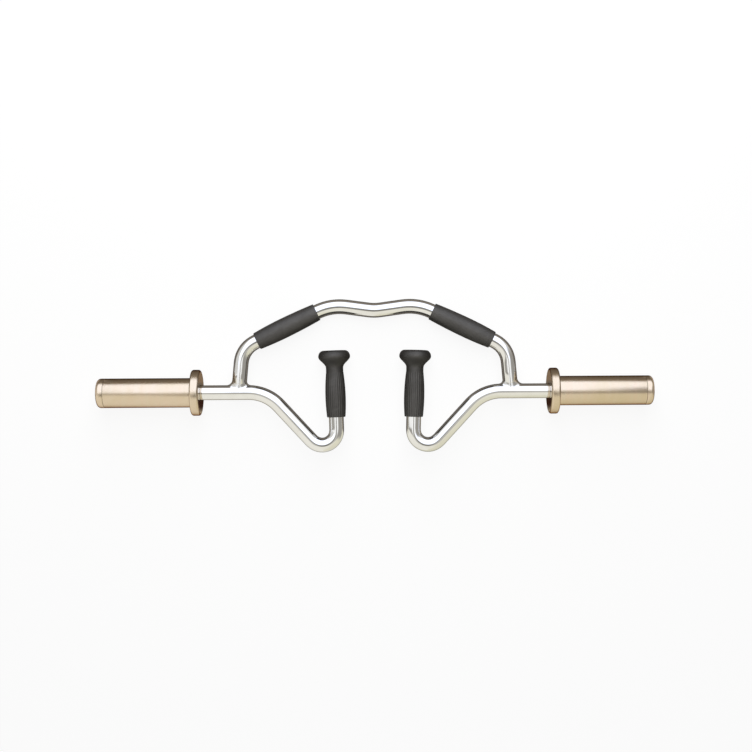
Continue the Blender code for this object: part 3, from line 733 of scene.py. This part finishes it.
def make_bronze(finishes):
    """Bearing bronze: turned bright, dulled brown by oil."""
    turned_roughness, dull_roughness = 0.30, 0.48
    tree, shader = new_finish("bearing_bronze", {"Metallic": 1.0})
    at = object_place(tree)
    rings = use_group(tree, "turning_lines", {"Vector": at, "Pitch": 0.0004, "Stretch": 0.05})
    marks = use_group(tree, "handling_marks", {"Vector": at, "Size": 0.006, "Share": 0.5})
    cover(tree, shader, mixed(tree, marks, finishes.bronze, finishes.bronze_dull),
          ranged(tree, marks, turned_roughness, dull_roughness),
          bumped(tree, rings, distance=0.00001))


def make_spring_steel(finishes):
    """Phosphated spring steel: dark, dry and a little mottled."""
    pale_tone = (1.7, 1.7, 1.7)
    smooth_roughness, dry_roughness = 0.42, 0.58
    tree, shader = new_finish("phosphated_steel", {"Metallic": 1.0})
    at = object_place(tree)
    grain = use_group(tree, "moulded_grain", {"Vector": at, "Size": 0.0003})
    marks = use_group(tree, "handling_marks", {"Vector": at, "Size": 0.004, "Share": 0.5})
    pale = toned(finishes.spring_steel, pale_tone)
    cover(tree, shader, mixed(tree, marks, finishes.spring_steel, pale),
          ranged(tree, marks, smooth_roughness, dry_roughness),
          bumped(tree, grain, distance=0.00001))


# Welds

def weld_line(bar, weld, around):
    """Points down the weld at one angle round the right foot, and how far each is dressed.

    The wheel has cut its hollow at the front and left its bead at the sides.
    """
    radius = bar.diameter / 2
    along = math.cos(around)
    across = math.sin(around)
    foot = flat(bar.foot_x, 0.0)
    upward = (flat(bar.shoulder_x, bar.shoulder_y) - foot).normalized()
    outward = flat(upward.y, -upward.x) * along + Vector((0.0, 0.0, across))
    spread = radius + weld.leg
    height = math.hypot(spread * along, weld.front_height * across)
    top = foot + upward * (height / upward.y) + outward * radius
    wrap = math.asin(across * math.sin(weld.wrap))
    on_lower = Vector((0.0, math.cos(wrap), math.sin(wrap)))
    toe = foot + flat(spread * along, 0.0) + on_lower * radius
    out_along = Vector((along, -abs(across * math.sin(wrap)),
                        abs(across) * math.copysign(math.cos(wrap), across))).normalized()
    ease = (toe - top).length * weld.ease
    bead = weld.bead * along ** 2
    start = top + outward * (bead - weld.hollow * across ** 4)
    end = toe + on_lower * bead
    face = interpolate_bezier(start, start - upward * ease, end - out_along * ease, end,
                              WELD_STEPS + 1)
    points = [(top + upward * weld.bead_width, 0.0)]
    points += [(point, 1.0) for point in face]
    points.append((toe + out_along * weld.bead_width - on_lower * bead, 1.0))
    points.append((toe - on_lower * weld.bead_width, 1.0))
    return points


def draw_weld(arch, bar, weld):
    """Flare the end of the arch's foot into the weld that joins it to the lower bar."""
    outward = flat(-arch.heading.y, arch.heading.x)
    lines = []
    for vertex in arch.verts:
        spoke = vertex.co - arch.place
        lines.append(weld_line(bar, weld, math.atan2(spoke.z, spoke.dot(outward))))
    for ring in zip(*lines):
        arch.draw_out(weld.leg / WELD_STEPS)
        for vertex, (point, dressed) in zip(arch.verts, ring):
            vertex.co = point
            vertex[arch.dressed] = dressed


# Grips and sleeves

def handle_profile(bar, grips):
    """Profile of a handle grip, from the middle of the knob's top down and into its bore."""
    knob = grips.knob_diameter / 2
    flat_top = grips.knob_top_diameter / 2
    neck = grips.neck_diameter / 2
    bore = bar.diameter / 2 - grips.squeeze
    points = [(0.0, 0.0)]
    for i in range(KNOB_STEPS + 1):
        swing = math.radians(90) * i / KNOB_STEPS
        points.append((flat_top + (knob - flat_top) * math.sin(swing),
                       -grips.knob_rim_drop * (1 - math.cos(swing))))
    for i in range(1, KNOB_STEPS + 1):
        part = i / KNOB_STEPS
        swell = ((1 + math.cos(math.pi * part)) / 2) ** grips.knob_underside_curve
        points.append((neck + (knob - neck) * swell,
                       -grips.knob_rim_drop - grips.knob_underside_drop * part))
    barrel_top = -grips.knob_rim_drop - grips.knob_underside_drop - grips.neck_length
    outside = [(radius, barrel_top - height) for radius, height in barrel(
        grips.barrel_length, grips.neck_diameter, grips.barrel_diameter,
        grips.barrel_end_diameter, grips.barrel_fattest)]
    profile = [(radius, height, None) for radius, height in points + outside[:-1]]
    return profile + [(*outside[-1], (grips.edge, CUT_EDGE_STEPS)), (bore, outside[-1][1], None),
                      (bore, -grips.knob_crown, None), (0.0, -grips.knob_crown, None)]


def press_ribs(shape, inside, grips):
    """Press the grooves between the ribs into a handle grip, from under its neck down.

    What lies within the inside radius is its bore, and stays as it is.
    """
    crest = shape.verts.layers.float.new(CREST)
    top = -grips.knob_rim_drop - grips.knob_underside_drop - grips.neck_length
    for vertex in shape.verts:
        radius = math.hypot(vertex.co.x, vertex.co.y)
        if vertex.co.z > top or radius < inside:
            continue
        swing = math.atan2(vertex.co.y, vertex.co.x)
        groove = (0.5 - 0.5 * math.cos(grips.ribs * swing)) ** GROOVE_POWER
        fade = min(1.0, (top - vertex.co.z) / grips.rib_run_in)
        scale = 1 - grips.rib_depth * groove * fade / radius
        vertex.co.x *= scale
        vertex.co.y *= scale
        vertex[crest] = (1 - groove) * fade


def groove_position(sleeve):
    """Where the ring's groove starts, outwards from the collar's inner face."""
    recess = SLEEVE_HIGH.x - COLLAR_LOW.x - sleeve.outer_recess
    return recess + sleeve.flange_thickness + sleeve.washer_thickness + 2 * sleeve.fit


# Studio

# Where the floor that metal mirrors changes over, in metres, as (from, to)
FLOOR_BLEND = 0.02
BENDS_BLEND = 0.01
CREAM_TURNS_X = (-0.1, 0.1)
PAST_CAPS = (CAP_HIGH.x, CAP_HIGH.x + 0.03)
LEVEL_WITH_CAPS = (0.03, 0.06)
TO_COLLARS = (COLLAR_LOW.x - 0.03, COLLAR_LOW.x - 0.015)
PAST_COLLARS = (COLLAR_LOW.x, COLLAR_HIGH.x)
GLINT_STARTS = (AXIS_Y + 0.005, AXIS_Y + 0.012)
GLINT_ENDS = (AXIS_Y + 0.030, AXIS_Y + 0.050)
CONTACT_STARTS = (AXIS_Y - 0.050, AXIS_Y - 0.030)
CONTACT_ENDS = (AXIS_Y - 0.005, AXIS_Y + 0.005)

# Where the room that metal mirrors changes over, in slopes from the camera's direction
CREAM_TURNS_RIGHT = (-0.5, 1.2)
STRIP_LIFTS_ASIDE = (0.3, 0.5)
STRIP_START_BLEND = 0.03
STRIP_END_BLEND = 0.04
STRIP_ENDS_LEFT = (-0.40, -0.26)
STRIP_ENDS_BELOW = (-0.32, -0.16)
GREY_ASIDE = (0.4, 0.7)
GREY_RIGHT = (0.33, 0.75)
GREY_LEAN = (0.25, 0.8)
LAMP_LOW_BLEND = 0.02
LAMP_TOP_BLEND = 0.2
LAMP_SIDE_BLEND = 0.04

# How steeply the strip's upper edge falls to each side, and how far it lifts again further out
STRIP_FALL = -0.8
STRIP_LIFT = 0.07

# What a slope is divided by at least, so that it stays finite
LEAST_DIVISOR = 0.02


def falling(tree, value, low, high):
    """1 below the low value and 0 above the high one, smooth between them."""
    return calculated(tree, 'SUBTRACT', 1.0, rising(tree, value, low, high))


def past(tree, value, border, blend):
    """0 before the border and 1 past it, smooth over the blend on either side."""
    return rising(tree, value, border - blend, border + blend)


def within(tree, value, starts, ends):
    """1 between where it starts and where it ends, each a (from, to), and 0 outside."""
    return calculated(tree, 'MULTIPLY', rising(tree, value, *starts), falling(tree, value, *ends))


def measured(tree, vector, direction):
    """How far the vector reaches in that direction."""
    return add_node(tree, 'ShaderNodeVectorMath', {0: vector, 1: tuple(direction)},
                    operation='DOT_PRODUCT').outputs["Value"]


def chosen(tree, rays, others, these):
    """One shader for these rays and another for all others."""
    return add_node(tree, 'ShaderNodeMixShader', {0: rays, 1: others, 2: these}).outputs[0]


def mirrored_floor(tree, studio):
    """The painted colour that metal mirrors at each place on the floor, with painted shade near and
    past the object and a painted glint and painted shade by the collars.
    """
    at = object_place(tree)
    across = measured(tree, at, (1.0, 0.0, 0.0))
    ahead = measured(tree, at, (0.0, 1.0, 0.0))
    aside = calculated(tree, 'ABSOLUTE', across)
    below_handles = mixed(tree, rising(tree, across, *CREAM_TURNS_X), studio.pale_cream,
                          studio.cream)
    by_object = mixed(tree, past(tree, ahead, studio.near_floor_y, FLOOR_BLEND), below_handles,
                      studio.near_floor)
    past_object = mixed(tree, rising(tree, ahead, 0.0, studio.horizon_y), studio.far_floor,
                        studio.horizon)
    beside_bends = past(tree, aside, studio.bends_side, FLOOR_BLEND)
    in_bends = calculated(tree, 'MULTIPLY', past(tree, ahead, studio.near_floor_y, BENDS_BLEND),
                          calculated(tree, 'SUBTRACT', 1.0, beside_bends))
    far = calculated(tree, 'MAXIMUM', in_bends,
                     past(tree, ahead, studio.far_floor_y, FLOOR_BLEND))
    shown = mixed(tree, far, by_object, past_object)
    level = falling(tree, calculated(tree, 'ABSOLUTE', ahead), *LEVEL_WITH_CAPS)
    beyond_caps = calculated(tree, 'MULTIPLY', rising(tree, aside, *PAST_CAPS), level)
    shown = mixed(tree, beyond_caps, shown, studio.beyond_caps)
    by_collars = within(tree, aside, TO_COLLARS, PAST_COLLARS)
    # Painted glint and painted shade, mirrored in the collars' inner faces.
    for starts, ends, rgb in ((GLINT_STARTS, GLINT_ENDS, studio.glint),
                              (CONTACT_STARTS, CONTACT_ENDS, studio.contact)):
        spot = calculated(tree, 'MULTIPLY', by_collars, within(tree, ahead, starts, ends))
        shown = mixed(tree, spot, shown, rgb)
    return shown


def make_floor(studio):
    """A pale floor that keeps the shadows, and in its place the painted colours that the polished
    metal mirrors.
    """
    shape = bmesh.new()
    bmesh.ops.create_grid(shape, x_segments=1, y_segments=1, size=FLOOR_REACH)
    mesh = bpy.data.meshes.new("floor")
    shape.to_mesh(mesh)
    shape.free()
    material = bpy.data.materials.new("pale_floor")
    material.use_nodes = True
    tree = material.node_tree
    tree.nodes.clear()
    rays = add_node(tree, 'ShaderNodeLightPath').outputs
    matt = add_node(tree, 'ShaderNodeBsdfDiffuse', {"Color": (*studio.floor, 1.0)})
    lift = calculated(tree, 'MULTIPLY', rays["Is Camera Ray"], studio.floor_lift)
    glow = add_node(tree, 'ShaderNodeEmission', {"Strength": lift})
    shown = add_node(tree, 'ShaderNodeAddShader', {0: matt.outputs[0], 1: glow.outputs[0]})
    # Painted reflection: glossy rays see these emitted colours in place of the lit floor.
    mirror = add_node(tree, 'ShaderNodeEmission', {"Color": mirrored_floor(tree, studio)})
    add_node(tree, 'ShaderNodeOutputMaterial', {
        "Surface": chosen(tree, rays["Is Glossy Ray"], shown.outputs[0], mirror.outputs[0])})
    mesh.materials.append(material)
    ground = bpy.data.objects.new("floor", mesh)
    bpy.context.scene.collection.objects.link(ground)


def mirrored_room(tree, plane, studio):
    """The colour that metal mirrors in each direction of the room."""
    direction = add_node(tree, 'ShaderNodeTexCoord').outputs["Generated"]
    outward = calculated(tree, 'MAXIMUM', measured(tree, direction, plane.col[2]), LEAST_DIVISOR)
    rise = calculated(tree, 'DIVIDE', measured(tree, direction, plane.col[1]), outward)
    right = calculated(tree, 'DIVIDE', measured(tree, direction, plane.col[0]), outward)
    aside = calculated(tree, 'ABSOLUTE', right)
    bands = mixed(tree, past(tree, below_strip_start(tree, aside, rise, studio), 0.0,
                             STRIP_START_BLEND),
                  mirrored_above(tree, aside, rise, studio),
                  mirrored_below(tree, right, aside, rise, studio))
    lean = calculated(tree, 'DIVIDE', calculated(tree, 'ABSOLUTE', rise),
                      calculated(tree, 'MAXIMUM', right, LEAST_DIVISOR))
    beside = calculated(tree, 'MULTIPLY', rising(tree, right, *GREY_RIGHT),
                        falling(tree, lean, *GREY_LEAN))
    return mixed(tree, beside, bands, studio.grey)


def below_strip_start(tree, aside, rise, studio):
    """How far a direction lies below the upper edge of the strip, which falls to each side."""
    slant = calculated(tree, 'MULTIPLY_ADD', aside, STRIP_FALL, studio.shade_peak)
    start = calculated(tree, 'MAXIMUM', slant, studio.shade_start)
    start = calculated(tree, 'MULTIPLY_ADD', rising(tree, aside, *STRIP_LIFTS_ASIDE), STRIP_LIFT,
                       start)
    return calculated(tree, 'SUBTRACT', start, rise)


def mirrored_below(tree, right, aside, rise, studio):
    """The strip below the camera, dark in its middle and grey at its sides, and cream below it."""
    off_middle = past(tree, aside, studio.shade_middle_slope, studio.shade_middle_slope / 2)
    strip = mixed(tree, off_middle, studio.shade_middle, studio.shade)
    strip = mixed(tree, rising(tree, aside, *GREY_ASIDE), strip, studio.grey)
    cream = mixed(tree, rising(tree, right, *CREAM_TURNS_RIGHT), studio.pale_cream, studio.cream)
    low_left = calculated(tree, 'MULTIPLY', falling(tree, right, *STRIP_ENDS_LEFT),
                          falling(tree, rise, *STRIP_ENDS_BELOW))
    strip = mixed(tree, low_left, strip, cream)
    return mixed(tree, past(tree, rise, studio.shade_end, STRIP_END_BLEND), cream, strip)


def mirrored_above(tree, aside, rise, studio):
    """The key light's panel, with the room above it and beside it and a gap below it."""
    lamp_low = math.tan(studio.key_from)
    lamp_top = math.tan(studio.key_to)
    swing = (studio.key_from + studio.key_to) / 2
    towards_lamp = calculated(tree, 'MULTIPLY_ADD', rise, math.sin(swing), math.cos(swing))
    across = calculated(tree, 'DIVIDE', aside,
                        calculated(tree, 'MAXIMUM', towards_lamp, LEAST_DIVISOR))
    past_lamp = calculated(tree, 'MAXIMUM', past(tree, rise, lamp_top, LAMP_TOP_BLEND),
                           past(tree, across, studio.panel_side, LAMP_SIDE_BLEND))
    over_low = mixed(tree, past_lamp, studio.panel, studio.room)
    return mixed(tree, past(tree, rise, lamp_low, LAMP_LOW_BLEND), studio.below_lamp, over_low)


def make_room(bar, studio):
    """A white room for the camera, an even light on the object, and bands for metal to mirror."""
    white = (1.0, 1.0, 1.0, 1.0)
    world = bpy.data.worlds.new("room")
    world.use_nodes = True
    tree = world.node_tree
    tree.nodes.clear()
    rays = add_node(tree, 'ShaderNodeLightPath').outputs
    seen = calculated(tree, 'MAXIMUM', rays["Is Camera Ray"], rays["Is Transmission Ray"])
    bands = mirrored_room(tree, frame_plane(bar).to_3x3(), studio)
    even = add_node(tree, 'ShaderNodeBackground', {"Color": white, "Strength": studio.sky})
    backdrop = add_node(tree, 'ShaderNodeBackground', {"Color": white})
    # Painted reflection: glossy rays see these bands in place of the room's even light.
    banded = add_node(tree, 'ShaderNodeBackground', {"Color": bands})
    lit = chosen(tree, seen, even.outputs[0], backdrop.outputs[0])
    add_node(tree, 'ShaderNodeOutputWorld', {
        "Surface": chosen(tree, rays["Is Glossy Ray"], lit, banded.outputs[0])})
    bpy.context.scene.world = world


def hang_key_light(bar, studio):
    """One large soft light between the camera and the horizon past the arch."""
    swing = (studio.key_from + studio.key_to) / 2
    direction = (frame_plane(bar).to_3x3()
                 @ Vector((0.0, math.sin(swing), math.cos(swing)))).normalized()
    height = 2 * studio.distance * math.tan((studio.key_to - studio.key_from) / 2)
    light = bpy.data.lights.new("key_light", 'AREA')
    light.shape = 'RECTANGLE'
    light.size = studio.key_width
    light.size_y = height
    light.energy = studio.key * LAMP_SCALE * studio.key_width * height
    lamp = bpy.data.objects.new("key_light", light)
    bpy.context.scene.collection.objects.link(lamp)
    lamp.location = Vector((0.0, AXIS_Y, AXIS_Z)) + direction * studio.distance
    lamp.rotation_mode = 'QUATERNION'
    lamp.rotation_quaternion = direction.to_track_quat('Z', 'Y')
    lamp.visible_camera = False
    # Metal doesn't mirror the lamp itself; the room paints its panel in its place.
    lamp.visible_glossy = False


def set_camera(bar, studio):
    """The camera, square to the frame's plane but for its roll."""
    plane = frame_plane(bar)
    towards = (plane.to_3x3() @ Vector((0.0, 0.0, 1.0))).normalized()
    camera_data = bpy.data.cameras.new("camera")
    camera_data.lens = (camera_data.sensor_width / 2 * studio.distance
                        / (studio.picture_width / 2))
    camera = bpy.data.objects.new("camera", camera_data)
    bpy.context.scene.collection.objects.link(camera)
    aim = plane @ flat(studio.aim_x, studio.aim_y)
    up = plane.to_3x3() @ Vector((0.0, 1.0, 0.0))
    right = Vector((1.0, 0.0, 0.0))
    level = Matrix((right, up, towards)).transposed()
    camera.rotation_mode = 'QUATERNION'
    camera.rotation_quaternion = (level @ Matrix.Rotation(-studio.roll, 3, 'Z')).to_quaternion()
    camera.location = aim + towards * studio.distance
    bpy.context.scene.camera = camera


# Operators

class TRICEPS_OT_finishes(Operator):
    """Make the finishes and give the hidden bushes, washers and rings theirs"""

    bl_idname = "triceps.finishes"
    bl_label = "Finishes"

    def execute(self, context):
        finishes = context.scene.triceps_finishes
        make_handling_marks()
        make_fine_lines("drawn_lines", "Z", 0.7)
        make_fine_lines("turning_lines", "YZ", 0.65)
        make_moulded_grain()
        make_chrome(finishes)
        # Turned nickel has painted shade at its edges; faced nickel has not.
        make_nickel("turned_nickel", finishes.nickel_edge_shade, finishes)
        make_nickel("faced_nickel", finishes.faced_edge, finishes)
        # The arch grips' rubber is lighter, partly painted light and partly dust.
        make_rubber("plain_rubber", finishes.arch_rubber_dusty_and_lit, finishes.arch_rubber_edge_shade, finishes,
                    crested=False)
        make_rubber("ribbed_rubber", finishes.rubber, finishes.rubber_edge_shade, finishes, crested=True)
        make_bronze(finishes)
        make_spring_steel(finishes)
        for name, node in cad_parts.items():
            if name.endswith(("_bush", "_thrust_washer")):
                node.material_slots[0].material = bpy.data.materials["bearing_bronze"]
            elif name.endswith("_retaining_ring"):
                node.material_slots[0].material = bpy.data.materials["phosphated_steel"]
        return {'FINISHED'}


class TRICEPS_OT_arch_bar(Operator):
    """Bend the arch bar from its middle and flare its feet into the dressed welds"""

    bl_idname = "triceps.arch_bar"
    bl_label = "Arch bar"

    def execute(self, context):
        bar = context.scene.triceps_bar_sizes
        weld = context.scene.triceps_weld_sizes
        rise = math.atan2(bar.crest_y - bar.dip_y, bar.crest_x)
        whole_dip = bend_arcs(bar.dip_radius, 2 * rise, bar.run_in)
        half_dip = whole_dip[len(whole_dip) // 2:]
        ahead, aside, _ = reach(half_dip)
        lowest = bar.dip_y + ahead * math.tan(rise) - aside
        foot = flat(bar.foot_x, 0.0)
        shoulder = flat(bar.shoulder_x, bar.shoulder_y)
        arch = BentBar(flat(0.0, lowest), Vector((1.0, 0.0, 0.0)), bar.diameter / 2)
        arch.bend(half_dip)
        weld_top = foot + (shoulder - foot).normalized() * (bar.diameter + weld.leg)
        arch.follow([(flat(bar.crest_x, bar.crest_y), bar.crest_radius),
                     (shoulder, bar.shoulder_radius), (weld_top, 0.0)], bar.run_in)
        draw_weld(arch, bar, weld)
        bmesh.ops.edgeloop_fill(arch.shape, edges=arch.edges)
        right_half = list(arch.shape.verts) + list(arch.shape.edges) + list(arch.shape.faces)
        bmesh.ops.mirror(arch.shape, geom=right_half, matrix=Matrix.Identity(4),
                         merge_dist=SEAM_DISTANCE, axis='X')
        for vertex in arch.shape.verts:
            if vertex.co.x < 0.0:
                spot = vertex[arch.straight]
                vertex[arch.straight] = Vector((spot.x, spot.y, -spot.z))
        add_piece("polished_arch_bar", arch.shape, frame_plane(bar), "frame", "arch_bar",
                  bpy.data.materials["polished_chrome"])
        return {'FINISHED'}


class TRICEPS_OT_lower_bars(Operator):
    """Bend the lower bars from the knob to the sleeve, with the turned journal inside it"""

    bl_idname = "triceps.lower_bars"
    bl_label = "Lower bars"

    def execute(self, context):
        bar = context.scene.triceps_bar_sizes
        grips = context.scene.triceps_grip_sizes
        sleeve = context.scene.triceps_sleeve_sizes
        top, upward = handle_axis(bar, grips)
        bar_radius = bar.diameter / 2
        journal = bar_radius - sleeve.journal_step
        groove = journal - sleeve.groove_depth
        shoulder_z = sleeve.web + sleeve.shoulder_past_web
        groove_start = groove_position(sleeve)
        groove_width = sleeve.ring_thickness + 2 * sleeve.fit
        for side_name, side in SIDES.items():
            lower = BentBar(top - upward * grips.knob_crown, -upward, bar_radius)
            lower.follow([(flat(bar.u_bend_x, bar.u_bend_y), bar.u_bend_radius),
                          (flat(bar.lower_bend_x, 0.0), bar.lower_bend_radius),
                          (flat(COLLAR_LOW.x + shoulder_z, 0.0), 0.0)], bar.run_in)
            lower.feed(0.0, journal)
            lower.feed(groove_start - shoulder_z)
            lower.feed(0.0, groove)
            lower.feed(groove_width)
            lower.feed(0.0, journal)
            lower.feed(sleeve.journal_past_groove - sleeve.journal_chamfer)
            lower.feed(sleeve.journal_chamfer, journal - sleeve.journal_chamfer)
            lower.close_ends()
            for vertex in lower.shape.verts:
                spot = vertex[lower.straight]
                apart = spot.z + side * MARKS_APART
                vertex[lower.straight] = Vector((spot.x * side, spot.y, apart))
            matrix = frame_plane(bar) @ half(side)
            add_piece(side_name + "_polished_lower_bar", lower.shape, matrix, "frame",
                      side_name + "_lower_bar", bpy.data.materials["polished_chrome"])
        return {'FINISHED'}


class TRICEPS_OT_arch_grips(Operator):
    """Mould the barrel-shaped grips on the arch's slopes"""

    bl_idname = "triceps.arch_grips"
    bl_label = "Arch grips"

    def execute(self, context):
        bar = context.scene.triceps_bar_sizes
        grips = context.scene.triceps_grip_sizes
        bore = bar.diameter / 2 - grips.squeeze
        outside = barrel(grips.arch_length, grips.arch_end_diameter, grips.arch_diameter,
                         grips.arch_end_diameter, grips.arch_fattest)
        edge = (grips.edge, CUT_EDGE_STEPS)
        profile = [(bore, 0.0, None), (*outside[0], edge)]
        profile += [(radius, height, None) for radius, height in outside[1:-1]]
        profile += [(*outside[-1], edge), (bore, grips.arch_length, None)]
        uphill = arch_slope(bar)
        start = flat(bar.shoulder_x, bar.shoulder_y) + uphill * grips.arch_start
        on_slope = Matrix.Translation(start) @ uphill.to_track_quat('Z', 'Y').to_matrix().to_4x4()
        for side_name, side in SIDES.items():
            shape = turned(profile, TURNED_SIDES)
            matrix = frame_plane(bar) @ half(side) @ on_slope
            add_piece(side_name + "_moulded_arch_grip", shape, matrix, "frame",
                      side_name + "_arch_grip", bpy.data.materials["plain_rubber"])
        return {'FINISHED'}


class TRICEPS_OT_handle_grips(Operator):
    """Mould the upright grips, each one with its knob and its ribs"""

    bl_idname = "triceps.handle_grips"
    bl_label = "Handle grips"

    def execute(self, context):
        bar = context.scene.triceps_bar_sizes
        grips = context.scene.triceps_grip_sizes
        top, upward = handle_axis(bar, grips)
        upright = Matrix.Translation(top) @ upward.to_track_quat('Z', 'Y').to_matrix().to_4x4()
        inside = (bar.diameter / 2 + grips.neck_diameter / 2) / 2
        for side_name, side in SIDES.items():
            shape = turned(handle_profile(bar, grips), grips.ribs * HANDLE_RIB_SIDES)
            press_ribs(shape, inside, grips)
            matrix = frame_plane(bar) @ half(side) @ upright
            add_piece(side_name + "_moulded_handle_grip", shape, matrix, "frame",
                      side_name + "_handle_grip", bpy.data.materials["ribbed_rubber"])
        return {'FINISHED'}


class TRICEPS_OT_collars(Operator):
    """Turn the collars that stop the plates"""

    bl_idname = "triceps.collars"
    bl_label = "Collars"

    def execute(self, context):
        bar = context.scene.triceps_bar_sizes
        sleeve = context.scene.triceps_sleeve_sizes
        radius = (COLLAR_HIGH.z - COLLAR_LOW.z) / 2
        thickness = COLLAR_HIGH.x - COLLAR_LOW.x
        bore = bar.diameter / 2 + sleeve.bar_clearance
        pocket = (SLEEVE_HIGH.z - SLEEVE_LOW.z) / 2 + sleeve.fit
        broken = (sleeve.break_edge, BROKEN_EDGE_STEPS)
        rim = (sleeve.collar_edge, COLLAR_EDGE_STEPS)
        profile = [(bore, 0.0, broken), (radius, 0.0, rim), (radius, thickness, rim),
                   (pocket, thickness, broken), (pocket, sleeve.web, None),
                   (bore, sleeve.web, None)]
        for side_name, side in SIDES.items():
            collar = add_piece(side_name + "_turned_collar", turned(profile, TURNED_SIDES),
                               sleeve_place(side), side_name + "_sleeve_unit",
                               side_name + "_collar",
                               bpy.data.materials["turned_nickel"])
            # The collar's inner face gets the faced nickel, without the painted shade at its edges.
            collar.data.materials.append(bpy.data.materials["faced_nickel"])
            for face in collar.data.polygons:
                inwards = -face.normal.x * side
                if inwards > FACED and abs(face.center.x) < COLLAR_LOW.x + MERGE_DISTANCE:
                    face.material_index = 1
        return {'FINISHED'}


class TRICEPS_OT_sleeves(Operator):
    """Turn the tubes that hold the plates and the caps that close them"""

    bl_idname = "triceps.sleeves"
    bl_label = "Sleeves"

    def execute(self, context):
        bar = context.scene.triceps_bar_sizes
        sleeve = context.scene.triceps_sleeve_sizes
        radius = (SLEEVE_HIGH.z - SLEEVE_LOW.z) / 2
        tube_start = SLEEVE_LOW.x - COLLAR_LOW.x
        tube_end = SLEEVE_HIGH.x - COLLAR_LOW.x
        cap_end = CAP_HIGH.x - COLLAR_LOW.x
        head = tube_end + sleeve.fit
        bush = bar.diameter / 2 - sleeve.journal_step + sleeve.fit + sleeve.bush_wall
        bore = bush + sleeve.fit
        recess = bush + sleeve.flange_lip + sleeve.fit
        inner_recess = (sleeve.web + sleeve.shoulder_past_web + sleeve.washer_thickness
                        + sleeve.flange_thickness + 3 * sleeve.fit)
        outer_recess = tube_end - sleeve.outer_recess
        spigot = recess - sleeve.fit
        broken = (sleeve.break_edge, BROKEN_EDGE_STEPS)
        rounded = (sleeve.cap_edge, CAP_EDGE_STEPS)
        tube = [(recess, tube_end, None), (radius, tube_end, broken), (radius, tube_start, None),
                (recess, tube_start, None), (recess, inner_recess, None),
                (bore, inner_recess, None), (bore, outer_recess, None),
                (recess, outer_recess, None)]
        cap = [(0.0, cap_end, None), (radius, cap_end, rounded),
               (radius, head, broken), (spigot, head, None),
               (spigot, head - sleeve.cap_spigot, broken), (0.0, head - sleeve.cap_spigot, None)]
        nickel = bpy.data.materials["turned_nickel"]
        for side_name, side in SIDES.items():
            body = side_name + "_sleeve_unit"
            add_piece(side_name + "_turned_sleeve_tube", turned(tube, TURNED_SIDES),
                      sleeve_place(side), body, side_name + "_sleeve_tube",
                      nickel)
            add_piece(side_name + "_turned_end_cap", turned(cap, TURNED_SIDES),
                      sleeve_place(side), body, side_name + "_end_cap", nickel)
        return {'FINISHED'}


class TRICEPS_OT_studio(Operator):
    """Lay the pale floor, paint the room, hang the key light and set up the camera"""

    bl_idname = "triceps.studio"
    bl_label = "Studio"

    def execute(self, context):
        bar = context.scene.triceps_bar_sizes
        studio = context.scene.triceps_studio
        make_floor(studio)
        make_room(bar, studio)
        hang_key_light(bar, studio)
        set_camera(bar, studio)
        context.scene.view_settings.view_transform = 'Standard'
        return {'FINISHED'}


OPERATORS = (
    TRICEPS_OT_finishes,
    TRICEPS_OT_arch_bar,
    TRICEPS_OT_lower_bars,
    TRICEPS_OT_arch_grips,
    TRICEPS_OT_handle_grips,
    TRICEPS_OT_collars,
    TRICEPS_OT_sleeves,
    TRICEPS_OT_studio,
)


class TRICEPS_PT_panel(Panel):
    """Sizes, finishes and steps of the triceps bar"""

    bl_idname = "TRICEPS_PT_panel"
    bl_label = "Triceps Bar"
    bl_space_type = 'VIEW_3D'
    bl_region_type = 'UI'
    bl_category = "Triceps Bar"

    def draw(self, context):
        for operator in OPERATORS:
            self.layout.operator(operator.bl_idname)
        for name, group in GROUPS.items():
            box = self.layout.box()
            box.label(text=group.__doc__)
            for setting in group.__annotations__:
                box.prop(getattr(context.scene, name), setting)


def register():
    for group in GROUPS.values():
        bpy.utils.register_class(group)
    for operator in OPERATORS:
        bpy.utils.register_class(operator)
    bpy.utils.register_class(TRICEPS_PT_panel)
    for name, group in GROUPS.items():
        setattr(bpy.types.Scene, name, PointerProperty(type=group))


def unregister():
    for name in GROUPS:
        delattr(bpy.types.Scene, name)
    bpy.utils.unregister_class(TRICEPS_PT_panel)
    for operator in reversed(OPERATORS):
        bpy.utils.unregister_class(operator)
    for group in reversed(list(GROUPS.values())):
        bpy.utils.unregister_class(group)


def main():
    register()
    bpy.ops.triceps.finishes()
    bpy.ops.triceps.arch_bar()
    bpy.ops.triceps.lower_bars()
    bpy.ops.triceps.arch_grips()
    bpy.ops.triceps.handle_grips()
    bpy.ops.triceps.collars()
    bpy.ops.triceps.sleeves()
    bpy.ops.triceps.studio()


if __name__ == "__main__":
    main()
